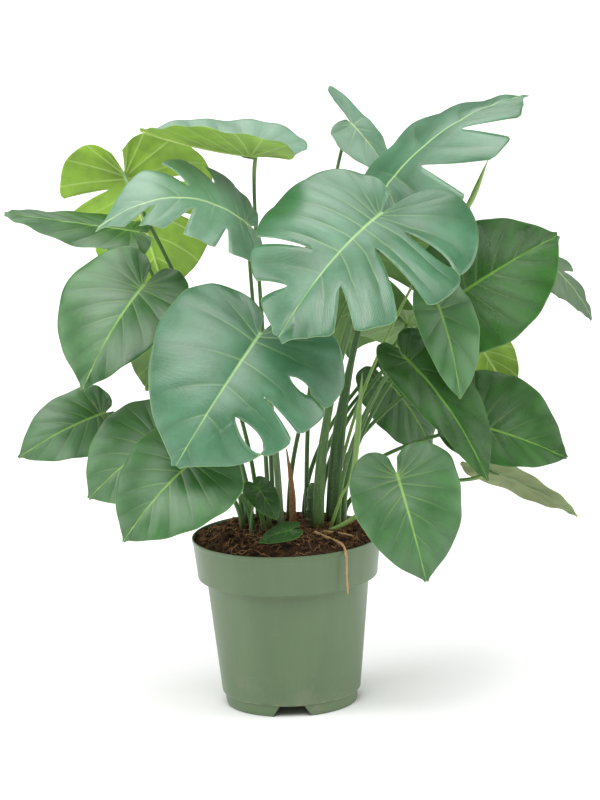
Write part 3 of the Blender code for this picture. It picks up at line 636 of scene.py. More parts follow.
def makeSoil():
    shelf = pot["height"] - pot["bandHeight"]
    edge = pot["height"] - soil["belowRim"]
    floorTop = pot["recess"] + pot["floor"]
    clear = soil["clear"]
    rimInner = innerRadius(edge) - clear
    profile = [(0.0, heapTop)]
    profile += [(rimInner * ring / soil["rings"], None) for ring in range(1, soil["rings"] + 1)]
    profile += [(innerRadius(shelf + 0.002) - clear, shelf + 0.003),
                (innerRadius(shelf - 0.002) - clear, shelf - 0.002),
                (innerRadius(floorTop + 0.006) - clear, floorTop + 0.006),
                (innerRadius(floorTop) - 0.004 - clear, floorTop + clear), (pot["pad"], floorTop + clear),
                (pot["pad"] - pot["wall"] - clear, pot["floor"] + clear), (0.0, pot["floor"] + clear)]
    points, faces = turned([(radius, heapTop if height is None else height) for radius, height in profile],
                           soil["turns"])
    points = np.array(points)
    top = 1 + soil["rings"] * soil["turns"]
    points[:top, 2] = heapHeight(points[:top, 0], points[:top, 1])
    faces = [tuple(reversed(face)) for face in faces]
    addPiece("soilHeap", points, faces, [soilMaterial], "potting_soil", "soil",
             {"tintAndPaintedLight": np.clip(0.5 + 0.5 * lumpy(points[:, 0] * 3.0, points[:, 1] * 3.0, 2.0), 0.0, 1.0)})


golden = (1.0 + math.sqrt(5.0)) / 2.0
ballPoints = unit(np.array([(-1, golden, 0), (1, golden, 0), (-1, -golden, 0), (1, -golden, 0),
                            (0, -1, golden), (0, 1, golden), (0, -1, -golden), (0, 1, -golden),
                            (golden, 0, -1), (golden, 0, 1), (-golden, 0, -1), (-golden, 0, 1)], float))
ballFaces = [(0, 11, 5), (0, 5, 1), (0, 1, 7), (0, 7, 10), (0, 10, 11), (1, 5, 9), (5, 11, 4), (11, 10, 2),
             (10, 7, 6), (7, 1, 8), (3, 9, 4), (3, 4, 2), (3, 2, 6), (3, 6, 8), (3, 8, 9), (4, 9, 5),
             (2, 4, 11), (6, 2, 10), (8, 6, 7), (9, 8, 1)]


def splitBall(points, faces):
    # one finer round of the ball's triangles
    points, middles, out = [tuple(point) for point in points], {}, []

    def middle(a, b):
        key = (min(a, b), max(a, b))
        if key not in middles:
            middles[key] = len(points)
            points.append(tuple(unit(np.array(points[a]) + np.array(points[b]))))
        return middles[key]

    for a, b, c in faces:
        ab, bc, ca = middle(a, b), middle(b, c), middle(c, a)
        out += [(a, ab, ca), (b, bc, ab), (c, ca, bc), (ab, bc, ca)]
    return np.array(points), out


def scatterCrumbs():
    dice = np.random.default_rng(7)
    finePoints, fineFaces = splitBall(ballPoints, ballFaces)
    allPoints, allFaces, tintAndPaintedLight = [], [], []
    count = 0
    reachOut = innerRadius(pot["height"] - soil["belowRim"]) - 0.005
    for number in range(soil["crumbs"] + soil["chips"]):
        chip = number >= soil["crumbs"]
        shape, faces = (finePoints, fineFaces) if chip else (ballPoints, ballFaces)
        distance = reachOut * math.sqrt(dice.random())
        angle = 2.0 * math.pi * dice.random()
        size = dice.uniform(0.0030, 0.0068) if chip else dice.uniform(0.0009, 0.0030)
        stretch = dice.uniform((0.7, 0.5, 0.25), (1.5, 1.0, 0.6)) if chip else dice.uniform(0.6, 1.2, 3)
        bumps = 1.0 + dice.uniform(-0.24, 0.24, (len(shape), 1))
        turn = np.array(Matrix.Rotation(2.0 * math.pi * dice.random(), 3, "Z")
                        @ Matrix.Rotation(dice.normal(0.0, 0.45), 3, "X"))
        local = (shape * bumps * stretch * size) @ turn.T
        x, y = distance * math.cos(angle), distance * math.sin(angle)
        z = float(heapHeight(np.array(x), np.array(y))) + size * dice.uniform(0.0, 0.35)
        allPoints.append(local + (x, y, z))
        allFaces += [tuple(corner + count for corner in face) for face in faces]
        count += len(shape)
        tintAndPaintedLight += [dice.random() ** 1.6 * (1.0 if chip else 0.8)] * len(shape)
    addPiece("soilCrumbs", np.vstack(allPoints), allFaces, [crumbMaterial], "potting_soil", None,
             {"tintAndPaintedLight": tintAndPaintedLight}, flat=True)


def scatterFibres():
    dice = np.random.default_rng(21)
    allPoints, allFaces, around, along = [], [], [], []
    count = 0
    for number in range(soil["fibres"]):
        distance = 0.118 * math.sqrt(dice.random())
        angle = 2.0 * math.pi * dice.random()
        spot = np.array((distance * math.cos(angle), distance * math.sin(angle)))
        heading = dice.uniform(0.0, 2.0 * math.pi)
        length = dice.uniform(0.010, 0.034)
        bend = dice.normal(0.0, 1.3)
        path = []
        for step in range(8):
            t = step / 7.0
            toward = heading + bend * t
            spot = spot + length / 7.0 * np.array((math.cos(toward), math.sin(toward)))
            limit = min(1.0, 0.121 / max(np.hypot(*spot), 1e-6))
            x, y = spot * limit
            hop = 0.0012 + 0.0040 * math.sin(math.pi * t) * dice.random()
            path.append((x, y, float(heapHeight(np.array(x), np.array(y))) + hop))
        thick = dice.uniform(0.00030, 0.00065)
        points, faces, values = sweep(smoothPath(path, 12), np.linspace(thick, thick * 0.5, 12), 5,
                                      upright=(0.0, 0.0, 1.0))
        allPoints.append(points)
        allFaces += [tuple(corner + count for corner in face) for face in faces]
        count += len(points)
        around.append(values["round"])
        along.append(values["along"] + number)
    addPiece("coirFibres", np.vstack(allPoints), allFaces, [coirMaterial], "potting_soil", None,
             {"round": np.concatenate(around), "along": np.concatenate(along)})


makeSoil()
scatterCrumbs()
scatterFibres()
print("soil laid")


# the leaves. Joint and tip are measured from the middle of the heap's top, face is the way the upper
# side looks. Pairs are (left, right) seen from the joint. A slit is (side, edge, inner, outer, width).

usualEdges = (0.20, 0.38, 0.53, 0.67, 0.81)
usualLeaf = {
    "tone": "midGreen", "back": (0.9, 0.9), "fold": (4.0, 4.0), "cup": (0.15, 0.15), "droop": 0.08,
    "bend": 0.0, "full": 0.85, "edges": (usualEdges, usualEdges), "slits": (),
    "stalk": 1.0, "lift": 0.45, "lean": (0.0, 0.0), "reach": 0.05, "swing": (0.0, 0.0, 0.0),
    "wave": 0.0022, "tintAndPaintedLight": (0.0, 0.0), "skin": "plain", "sheath": None, "under": None,
}
leaves = {
    "front_large": {
        "joint": (0.145, -0.130, 0.470), "tip": (0.000, -0.250, 0.325), "face": (-0.15, -0.75, 0.65),
        "half": (0.150, 0.142), "foot": (0.046, -0.004), "tone": "blueGreen", "back": (1.2, 0.7),
        "cup": (0.25, 0.25), "droop": 0.10, "full": 0.75,
        "edges": ((0.20, 0.45, 0.62, 0.80, 0.90), (0.20, 0.40, 0.53, 0.66, 0.81)),
        "slits": ((1, 2, 0.31, 0.90, 0.022), (1, 3, 0.25, 1.0, 0.042), (1, 4, 0.43, 1.0, 0.026),
                  (-1, 4, 0.25, 1.0, 0.014), (-1, 5, 0.43, 1.0, 0.030)),
        "stalk": 1.9, "sheath": (0.16, 1.25),
    },
    "front_left_large": {
        "joint": (-0.025, -0.160, 0.315), "tip": (-0.145, -0.230, 0.150), "face": (0.10, -0.85, 0.50),
        "half": (0.135, 0.125), "foot": (-0.008, 0.000), "tone": "blueGreen", "back": (0.9, 0.55),
        "cup": (0.2, 0.2), "droop": 0.10, "full": 0.78,
        "edges": ((0.20, 0.35, 0.50, 0.615, 0.72), usualEdges),
        "slits": ((1, 3, 0.5, 0.80, 0.022), (1, 4, 0.43, 1.0, 0.011), (1, 5, 0.37, 0.975, 0.030)),
        "stalk": 1.5, "skin": "grey",
    },
    "top_right": {
        "joint": (0.150, 0.000, 0.480), "tip": (0.355, 0.060, 0.600), "face": (-0.15, -0.35, 0.90),
        "half": (0.088, 0.134), "foot": (0.068, 0.022), "tone": "blueGreen", "back": (1.6, 0.6),
        "fold": (-8.0, 0.0), "cup": (0.1, 0.1), "droop": 0.11, "full": 0.8,
        "edges": (usualEdges, (0.20, 0.40, 0.60, 0.80, 0.92)),
        "slits": ((-1, 2, 0.37, 1.0, 0.060), (-1, 3, 0.25, 1.0, 0.055), (-1, 4, 0.31, 1.0, 0.045)),
        "stalk": 1.6, "skin": "dark", "sheath": (0.24, 1.9),
    },
    "top_centre": {
        "joint": (0.112, 0.175, 0.555), "tip": (0.165, 0.150, 0.480), "face": (0.55, -0.80, 0.20),
        "half": (0.030, 0.040), "foot": (0.030, 0.042), "tone": "paintedGlareGreen", "back": (2.2, 0.4),
        "fold": (0.0, 0.0), "cup": (0.1, 0.1), "droop": 0.06,
    },
    "yellow_green": {
        "joint": (-0.215, 0.135, 0.500), "tip": (-0.165, 0.180, 0.310), "face": (0.10, 0.90, 0.30),
        "half": (0.100, 0.125), "foot": (-0.056, 0.042), "tone": "lime", "fold": (0.0, 0.0),
        "cup": (0.1, 0.1), "droop": 0.06,
        "edges": ((0.20, 0.35, 0.48, 0.62, 0.80), (0.20, 0.36, 0.50, 0.66, 0.82)),
        "slits": ((-1, 3, 0.37, 0.90, 0.020), (-1, 4, 0.5, 1.0, 0.02), (1, 3, 0.31, 1.0, 0.030),
                  (1, 4, 0.5, 1.0, 0.03)),
        "reach": 0.03, "skin": "dark",
    },
    "left_split": {
        "joint": (-0.035, -0.050, 0.445), "tip": (-0.242, -0.110, 0.459), "face": (-0.05, -0.25, 0.97),
        "half": (0.066, 0.115), "foot": (-0.024, -0.004), "tone": "paintedGlareGreen", "back": (0.2, 0.3),
        "fold": (-28.0, 18.0), "cup": (0.1, 0.1), "droop": 0.20, "full": 1.1,
        "slits": ((-1, 3, 0.5, 1.0, 0.03), (-1, 4, 0.25, 1.0, 0.03), (1, 3, 0.5, 1.0, 0.02),
                  (1, 4, 0.31, 1.0, 0.03), (1, 5, 0.31, 1.0, 0.03)),
    },
    "top_left": {
        "joint": (-0.025, 0.010, 0.534), "tip": (-0.185, 0.045, 0.570), "face": (0.00, 0.08, 1.00),
        "half": (0.110, 0.095), "foot": (-0.018, 0.046), "tone": "paintedGlareGreen", "under": "lime",
        "back": (1.2, 1.2), "fold": (20.0, 24.0), "cup": (0.0, 0.0), "droop": -0.03,
        "swing": (0.0, 0.02, 0.0),
    },
    "left_dark": {
        "joint": (-0.185, -0.065, 0.370), "tip": (-0.270, -0.155, 0.245), "face": (-0.10, -0.80, 0.60),
        # left half darkened as painted shade, right half lightened as painted sheen
        "half": (0.068, 0.102), "foot": (-0.048, 0.010), "back": (0.8, 0.95), "tintAndPaintedLight": (-0.1, 0.1),
        "cup": (0.2, 0.2), "droop": 0.10,
    },
    "far_left": {
        "joint": (-0.195, 0.060, 0.425), "tip": (-0.380, 0.040, 0.460), "face": (0.05, -0.34, 0.92),
        "half": (0.062, 0.054), "foot": (-0.062, 0.024), "back": (0.3, 0.3), "fold": (4.0, -6.0),
        "cup": (0.1, 0.1), "droop": 0.0, "full": 0.62,
    },
    "left_low": {
        "joint": (-0.250, -0.010, 0.180), "tip": (-0.370, -0.060, 0.130), "face": (-0.10, -0.80, 0.60),
        "half": (0.055, 0.058), "foot": (-0.062, 0.006), "back": (0.4, 0.5), "cup": (0.2, 0.2),
    },
    "left_grey": {
        "joint": (-0.165, -0.100, 0.160), "tip": (-0.270, -0.130, 0.085), "face": (-0.10, -0.80, 0.60),
        "half": (0.080, 0.080), "foot": (-0.048, -0.008), "cup": (0.2, 0.2), "droop": 0.10,
    },
    "front_left_low": {
        "joint": (-0.120, -0.170, 0.145), "tip": (-0.220, -0.220, 0.045), "face": (-0.10, -0.80, 0.60),
        "half": (0.083, 0.080), "foot": (-0.032, -0.016), "back": (0.75, 0.75), "cup": (0.2, 0.2),
        "droop": 0.10,
    },
    "right_dark": {
        "joint": (0.250, -0.010, 0.330), "tip": (0.395, 0.030, 0.405), "face": (0.10, -0.85, 0.50),
        "half": (0.085, 0.095), "foot": (0.080, 0.022), "tone": "darkGreen", "cup": (0.1, 0.1),
        "droop": 0.06, "full": 0.75, "tintAndPaintedLight": (0.0, 0.35),
    # right half lightened as a painted sheen
    },
    "far_right": {
        "joint": (0.365, 0.150, 0.365), "tip": (0.450, 0.130, 0.265), "face": (0.50, -0.60, 0.50),
        "half": (0.030, 0.040), "foot": (0.050, 0.056), "cup": (0.1, 0.1), "droop": 0.10,
        "tone": "greyGreen",
        "slits": ((1, 2, 0.25, 1.0, 0.050), (1, 4, 0.31, 1.0, 0.040), (-1, 3, 0.37, 1.0, 0.045)),
    },
    "right_centre": {
        "joint": (0.220, -0.100, 0.335), "tip": (0.245, -0.140, 0.210), "face": (0.20, -0.80, 0.50),
        "half": (0.048, 0.038), "foot": (0.082, 0.006), "cup": (0.1, 0.1), "droop": 0.10,
        # both halves lightened as a painted sheen
        "tintAndPaintedLight": (0.5, 0.5),
    },
    "right_long": {
        "joint": (0.170, -0.100, 0.265), "tip": (0.280, -0.150, 0.095), "face": (0.10, -0.60, 0.60),
        "half": (0.060, 0.040), "foot": (0.074, -0.006), "tone": "darkGreen", "back": (0.5, 0.5),
        "cup": (0.1, 0.1), "droop": 0.06, "bend": 0.03,
    },
    "right_low_dark": {
        "joint": (0.265, 0.000, 0.145), "tip": (0.400, 0.000, 0.090), "face": (0.10, -0.85, 0.50),
        "half": (0.090, 0.052), "foot": (0.068, 0.037), "tone": "darkGreen", "cup": (0.1, 0.1),
    },
    "right_lime": {
        "joint": (0.280, 0.100, 0.245), "tip": (0.330, 0.120, 0.150), "face": (0.10, 0.80, 0.50),
        "half": (0.045, 0.045), "foot": (0.060, 0.048), "tone": "lime", "cup": (0.1, 0.1),
    },
    "right_pale": {
        "joint": (0.290, 0.030, 0.070), "tip": (0.415, 0.000, 0.005), "face": (0.15, 0.60, 0.50),
        "half": (0.030, 0.030), "foot": (0.082, 0.037), "tone": "lime", "under": "greyGreen",
        "cup": (0.1, 0.1), "droop": 0.05,
    },
    "front_right_low": {
        "joint": (0.155, -0.170, 0.115), "tip": (0.190, -0.200, -0.030), "face": (0.00, -0.85, 0.50),
        "half": (0.082, 0.070), "foot": (0.050, -0.022), "back": (0.75, 0.8), "cup": (0.2, 0.2),
        "lift": 0.12, "lean": (0.070, -0.020), "skin": "pale",
    },
    "back_left": {
        "joint": (-0.105, 0.145, 0.285), "tip": (-0.200, 0.255, 0.155), "face": (-0.30, 0.75, 0.60),
        "half": (0.085, 0.085), "foot": (-0.040, 0.056),
    },
    "back_large": {
        "joint": (0.150, 0.215, 0.395), "tip": (0.095, 0.290, 0.195), "face": (0.00, 0.80, 0.40),
        "half": (0.125, 0.125), "foot": (0.004, 0.060), "tone": "blueGreen", "back": (0.7, 0.7),
        "full": 0.78,
        "slits": ((1, 3, 0.25, 1.0, 0.02), (1, 4, 0.25, 1.0, 0.025), (-1, 3, 0.25, 1.0, 0.02),
                  (-1, 4, 0.25, 1.0, 0.025)),
    },
    "back_right": {
        "joint": (0.185, 0.225, 0.250), "tip": (0.280, 0.330, 0.140), "face": (0.30, 0.70, 0.60),
        "half": (0.080, 0.080), "foot": (0.026, 0.064),
    },
    "inner_right": {
        "joint": (0.150, 0.140, 0.185), "tip": (0.215, 0.175, 0.065), "face": (0.20, -0.60, 0.60),
        "half": (0.060, 0.060), "foot": (0.040, 0.064), "tone": "darkGreen",
    },
    "seedling_left": {
        "joint": (-0.038, -0.068, 0.078), "tip": (-0.012, -0.088, 0.035), "face": (0.00, -0.60, 0.80),
        "half": (0.022, 0.022), "foot": (-0.050, -0.046), "tone": "darkGreen", "stalk": 0.6,
        "reach": 0.02, "wave": 0.0005,
    },
    "seedling_front": {
        "joint": (0.008, -0.095, 0.022), "tip": (-0.038, -0.100, 0.006), "face": (0.00, -0.50, 0.80),
        "half": (0.018, 0.018), "foot": (0.010, -0.060), "tone": "darkGreen", "stalk": 0.6,
        "reach": 0.012, "wave": 0.0005,
    },
}

# half an outline from the notch behind the joint round to the tip: (along, across)
halfOutline = np.array([
    (-0.20, 0.07), (-0.29, 0.26), (-0.30, 0.52), (-0.20, 0.79), (-0.02, 0.96), (0.20, 1.00),
    (0.43, 0.90), (0.64, 0.69), (0.81, 0.41), (0.93, 0.14), (1.0, 0.0),
])
blade = {
    "fanShare": 0.40, "fanLength": 0.05, "crowding": 1.4, "wholeCrowding": 2.2, "dripTip": 0.045,
    "wander": 0.014, "thick": 0.0009, "thinEdge": 0.00035, "rimWidth": 0.006, "grooveShare": 0.35,
    "sweep": 0.10, "wholeSweep": 0.05, "bow": 0.03, "tipReach": 0.22,
    "fullLength": 0.16, "fullRipple": 0.15,  # shorter leaves have thinner ribs and flatter ripples
    "midribHeight": 0.0022, "midribWidth": 0.0026, "ribHeight": 0.0006, "ribWidth": 0.0011,
    "quilt": 0.0025, "valley": 0.0105, "pleat": 0.0006, "lobeArch": 0.0035, "roundTips": 0.045,
    "columns": (0.0, 0.012, 0.028, 0.05, 0.09, 0.14, 0.19, 0.25, 0.31, 0.37, 0.43, 0.50, 0.56, 0.62, 0.68,
                0.75, 0.80, 0.85, 0.90, 0.94, 0.975, 1.0),
    "beside": (-1.0, -0.74, -0.44, -0.18, -0.05, 0.05, 0.18, 0.44, 0.74),
}


leafSlots = {"blueGreen": "leaf_blue_green", "midGreen": "leaf_mid_green", "darkGreen": "leaf_dark_green",
             "greyGreen": "leaf_mid_green", "paintedGlareGreen": "leaf_blue_green", "lime": "leaf_lime"}


def outlineAt(share):
    return curveAt(halfOutline, np.clip(share, 0.0, 1.0) * (len(halfOutline) - 1))


def leafAxes(leaf):
    joint = np.array(leaf["joint"]) + (0.0, 0.0, heapTop)
    along = np.array(leaf["tip"]) + (0.0, 0.0, heapTop) - joint
    length = np.linalg.norm(along)
    along = along / length
    face = np.array(leaf["face"])
    up = unit(face - along * np.dot(face, along))
    return joint, along, np.cross(up, along), up, length


def veinOrigin(leaf, share):
    fan, reach = blade["fanShare"], blade["fanLength"]
    late = np.clip((share - fan) / (1.0 - fan), 0.0, 1.0)
    crowding = blade["crowding" if leaf["slits"] else "wholeCrowding"]
    return np.where(share < fan, reach * share / fan, reach + (1.0 - reach) * late**crowding)


def flatPoint(leaf, length, share, origin, out, index):
    # a point of one half before it is bent: along and across, in metres
    half = leaf["half"][index]
    edge = outlineAt(share)
    edgeX = edge[..., 0] * length * np.where(edge[..., 0] < 0.0, leaf["back"][index], 1.0)
    fullness = np.where(edge[..., 0] > 0.1, leaf["full"], 1.0)
    edgeY = np.maximum(edge[..., 1], 0.0) ** fullness * half
    edgeX = edgeX + blade["dripTip"] * length * np.clip((share - 0.955) / 0.045, 0.0, 1.0) ** 2
    slow = np.sin(2.0 * math.pi * (3.1 * share + half * 37.0))
    quick = np.sin(2.0 * math.pi * (7.3 * share + half * 91.0))
    wander = blade["wander"] * slow * np.clip(edge[..., 1], 0.0, 1.0)
    edgeY = edgeY * (1.0 + wander + 0.6 * blade["wander"] * quick)
    startX = origin * length
    reach = np.hypot(edgeX - startX, edgeY)
    swept = np.clip((share - 0.1) / 0.5, 0.0, 1.0)
    middleX = (startX + edgeX) / 2.0 - blade["sweep" if leaf["slits"] else "wholeSweep"] * reach * swept
    middleY = edgeY / 2.0 + blade["bow"] * reach
    x = (1.0 - out) ** 2 * startX + 2.0 * out * (1.0 - out) * middleX + out**2 * edgeX
    y = 2.0 * out * (1.0 - out) * middleY + out**2 * edgeY
    return x, y


def bentPoint(leaf, axes, x, y, lift, index):
    joint, along, across, up, length = axes
    side = 1.0 if index == 0 else -1.0
    mean = sum(leaf["half"]) / 2.0
    t = x / length
    arch = 4.0 * leaf["droop"] * length * t * np.where(t >= 0.0, 1.0 - t, 0.5)
    bow = 4.0 * leaf["bend"] * length * t * (1.0 - t) * np.where(t >= 0.0, 1.0, 0.3)
    rise = math.tan(math.radians(leaf["fold"][index])) * y - leaf["cup"][index] * mean * (y / mean) ** 2
    return (joint + along * x[..., None] + across * (side * y + bow)[..., None]
            + up * (arch + rise + lift)[..., None])


def slitGap(leaf, side, number, out):
    for slitSide, edge, inner, outer, width in leaf["slits"]:
        if slitSide == side and edge == number:
            share = np.clip((out - inner) / (outer - inner), 0.0, 1.0)
            if outer < 1.0:
                return width * np.sin(math.pi * share) ** 0.6
            return width * np.sqrt(share)
    return np.zeros_like(out)


def layRows(leaf):
    # (lobe, share of the lobe, which cell, how far from the cell's vein), the same on both halves
    rows = []
    lobes = len(leaf["edges"][0]) + 1 if leaf["slits"] else 1
    cell = 0
    for lobe in range(lobes):
        if lobes == 1:
            veins = 10 if min(leaf["half"]) > 0.04 else 6
        else:
            edges = (0.0, *leaf["edges"][0], 1.0)
            veins = 2 if edges[lobe + 1] - edges[lobe] > 0.165 else 1
        for number in range(veins):
            rows += [(lobe, (number + 0.5 + 0.5 * step) / veins, cell + number, step)
                     for step in blade["beside"]]
        rows.append((lobe, 1.0, cell + veins - 1, 1.0))
        cell += veins
    return rows


def makeBlade(name, leaf):
    axes = leafAxes(leaf)
    length = axes[4]
    size = min(1.0, length / blade["fullLength"])
    rows = layRows(leaf)
    out = np.array(blade["columns"])
    lobes = np.array([row[0] for row in rows])
    within = np.array([row[1] for row in rows])
    cells = np.array([row[2] for row in rows])
    beside = np.array([row[3] for row in rows])
    lobeCount = lobes.max() + 1
    dice = random.Random(name)
    phases = [dice.uniform(0.0, 2.0 * math.pi) for _ in range(6)]
    grids, gaps = [], []
    for index, side in enumerate((1, -1)):
        edges = (0.0, *leaf["edges"][index], 1.0) if lobeCount > 1 else (0.0, 1.0)
        openings = [slitGap(leaf, side, number, out) for number in range(lobeCount + 1)]
        low = (np.array([edges[lobe] for lobe in lobes])[:, None]
               + np.array([openings[lobe] for lobe in lobes]))
        high = (np.array([edges[lobe + 1] for lobe in lobes])[:, None]
                - np.array([openings[lobe + 1] if lobe + 1 < lobeCount else 0.0 * out for lobe in lobes]))
        grids.append(low + (high - low) * within[:, None])
        gaps.append(openings)
    origin = veinOrigin(leaf, (grids[0][:, :1] + grids[1][:, :1]) / 2.0)
    points = []
    values = {label: [] for label in ("out", "around", "sideVein", "midVein", "edgeNear", "tintAndPaintedLight")}
    for index, side in enumerate((1, -1)):
        share = grids[index]
        reach = np.repeat(out[None, :], len(rows), 0)
        if lobeCount > 1:  # lobe ends rounded where a slit opens at the margin
            for number in range(1, lobeCount):
                if gaps[index][number][-1] <= 0.0:
                    continue
                for lobe, near in ((number - 1, 1.0 - within), (number, within)):
                    pull = blade["roundTips"] * np.clip(1.0 - near / blade["tipReach"], 0.0, 1.0) ** 2
                    reach = reach * (1.0 - np.where(lobes == lobe, pull, 0.0)[:, None])
        x, y = flatPoint(leaf, length, share, origin, reach, index)
        centre = np.array([np.where(cells == cell)[0][4] for cell in cells])  # the row before the cell's vein
        after = np.minimum(centre + 1, len(rows) - 1)
        middleX = (x[centre] + x[after]) / 2.0
        middleY = (y[centre] + y[after]) / 2.0
        sideVein = np.hypot(x - middleX, y - middleY)
        midDistance = np.hypot(np.minimum(x, 0.0), y)
        rimDistance = np.hypot(x - x[:, -1:], y - y[:, -1:])
        for number in range(1, lobeCount):
            if gaps[index][number].max() <= 0.0:
                continue
            for lobe, step in ((number - 1, 1.0), (number, 0.0)):
                border = np.where((lobes == lobe) & (within == step))[0][0]
                open_ = gaps[index][number] > 0.0
                distance = np.where(open_, np.hypot(x - x[border], y - y[border]), 1.0)
                nearest = np.minimum(rimDistance, distance)
                rimDistance = np.where((lobes == lobe)[:, None], nearest, rimDistance)
        window = np.sin(math.pi * np.clip(reach, 0.0, 1.0) ** 0.8) ** 0.6
        quilt = blade["quilt"] * (1.0 - np.exp(-sideVein / blade["valley"])) * window
        cross = beside[:, None] * math.pi * 3.0 + 2.0 * np.sin(5.0 * reach + phases[4])
        quilt = quilt + blade["pleat"] * np.cos(cross) * window * np.clip(sideVein / 0.012, 0.0, 1.0)
        ripple = leaf["wave"] * reach**3 * (np.sin(2.0 * math.pi * 3.0 * share + phases[index])
                                            + 0.6 * np.sin(2.0 * math.pi * 7.0 * share + phases[index + 2]))
        lift = (quilt + ripple) * min(1.0, length / blade["fullRipple"])
        if lobeCount > 1:
            lift = lift - blade["lobeArch"] * (2.0 * within[:, None] - 1.0) ** 2 * reach**2
        points.append(bentPoint(leaf, axes, x, y, lift, index))
        t = np.clip(x / length, 0.0, 1.0)
        values["out"].append(reach)
        values["around"].append(share)
        values["sideVein"].append(sideVein)
        values["midVein"].append(midDistance / (blade["midribWidth"] * (1.0 - 0.72 * t) * size))
        values["edgeNear"].append(rimDistance)
        values["tintAndPaintedLight"].append(np.full(x.shape, leaf["tintAndPaintedLight"][index]))
    grid = np.stack(points)
    sides, rowCount, columnCount = grid.shape[:3]
    ids = np.arange(sides * rowCount * columnCount).reshape(sides, rowCount, columnCount)
    for index in (0, 1):
        for row in range(1, rowCount):
            if lobes[row] != lobes[row - 1]:
                closed = gaps[index][lobes[row]] <= 0.0
                ids[index, row] = np.where(closed, ids[index, row - 1], ids[index, row])
    ids[1, :, 0] = ids[0, :, 0]
    ids[:, -1, :] = ids[0, -1, 0]
    faces = []
    for index in (0, 1):
        for row in range(rowCount - 1):
            if lobes[row] != lobes[row + 1]:
                continue
            for column in range(columnCount - 1):
                ring = [ids[index, row, column], ids[index, row + 1, column],
                        ids[index, row + 1, column + 1], ids[index, row, column + 1]]
                if index == 1:
                    ring.reverse()
                kept = [corner for place, corner in enumerate(ring) if corner != ring[place - 1]]
                if len(kept) > 2:
                    faces.append(kept)
    used = np.unique([corner for face in faces for corner in face])
    place = np.full(ids.size, -1)
    place[used] = np.arange(len(used))
    middle = grid.reshape(-1, 3)[used]
    numbers = {label: np.stack(parts).reshape(-1)[used] for label, parts in values.items()}
    faces = [tuple(int(place[corner]) for corner in face) for face in faces]
    normals = np.zeros_like(middle)
    for face in faces:
        a, b, c = middle[face[0]], middle[face[1]], middle[face[-1]]
        normals[list(face)] += np.cross(b - a, c - a)
    normals = unit(normals)
    rimFade = np.clip(numbers["edgeNear"] / blade["rimWidth"], 0.0, 1.0)
    half = 0.5 * (blade["thinEdge"] + (blade["thick"] - blade["thinEdge"]) * rimFade)
    midrib = blade["midribHeight"] * size * np.clip(1.0 - (numbers["midVein"] / 1.7) ** 2, 0.0, 1.0)
    midrib *= 1.0 - 0.8 * np.clip(numbers["around"] - 0.3, 0.0, 1.0)
    ribs = blade["ribHeight"] * size * np.exp(-(numbers["sideVein"] / blade["ribWidth"]) ** 2)
    ribs *= (1.0 - numbers["out"]) * rimFade
    groove = blade["grooveShare"] * ribs
    top = middle + normals * (half - groove)[:, None]
    bottom = middle - normals * (half + np.maximum(midrib, ribs))[:, None]
    count = len(middle)
    directed = set()
    for face in faces:
        for first, second in zip(face, face[1:] + face[:1]):
            directed.add((first, second))
    rim = [(second, first, first + count, second + count) for first, second in directed
           if (second, first) not in directed]
    rim.sort()
    under = [tuple(corner + count for corner in reversed(face)) for face in faces]
    kinds = [0] * len(faces) + [1] * len(under) + [0] * len(rim)
    skin = (leafMaterials[leaf["tone"]][0], leafMaterials[leaf["under"] or leaf["tone"]][1])
    both = {label: np.tile(part, 2) for label, part in numbers.items()}
    addPiece("leaf_" + name, np.vstack([top, bottom]), faces + under + rim, skin, leafSlots[leaf["tone"]],
             "blade_" + name, both, kinds)


stalk = {"radius": 0.0034, "topShare": 0.72, "kneeLength": 0.030, "kneeSwell": 0.22, "rings": 46, "sides": 16,
         "merge": 0.020, "clear": 0.0020, "footSwell": 0.30}


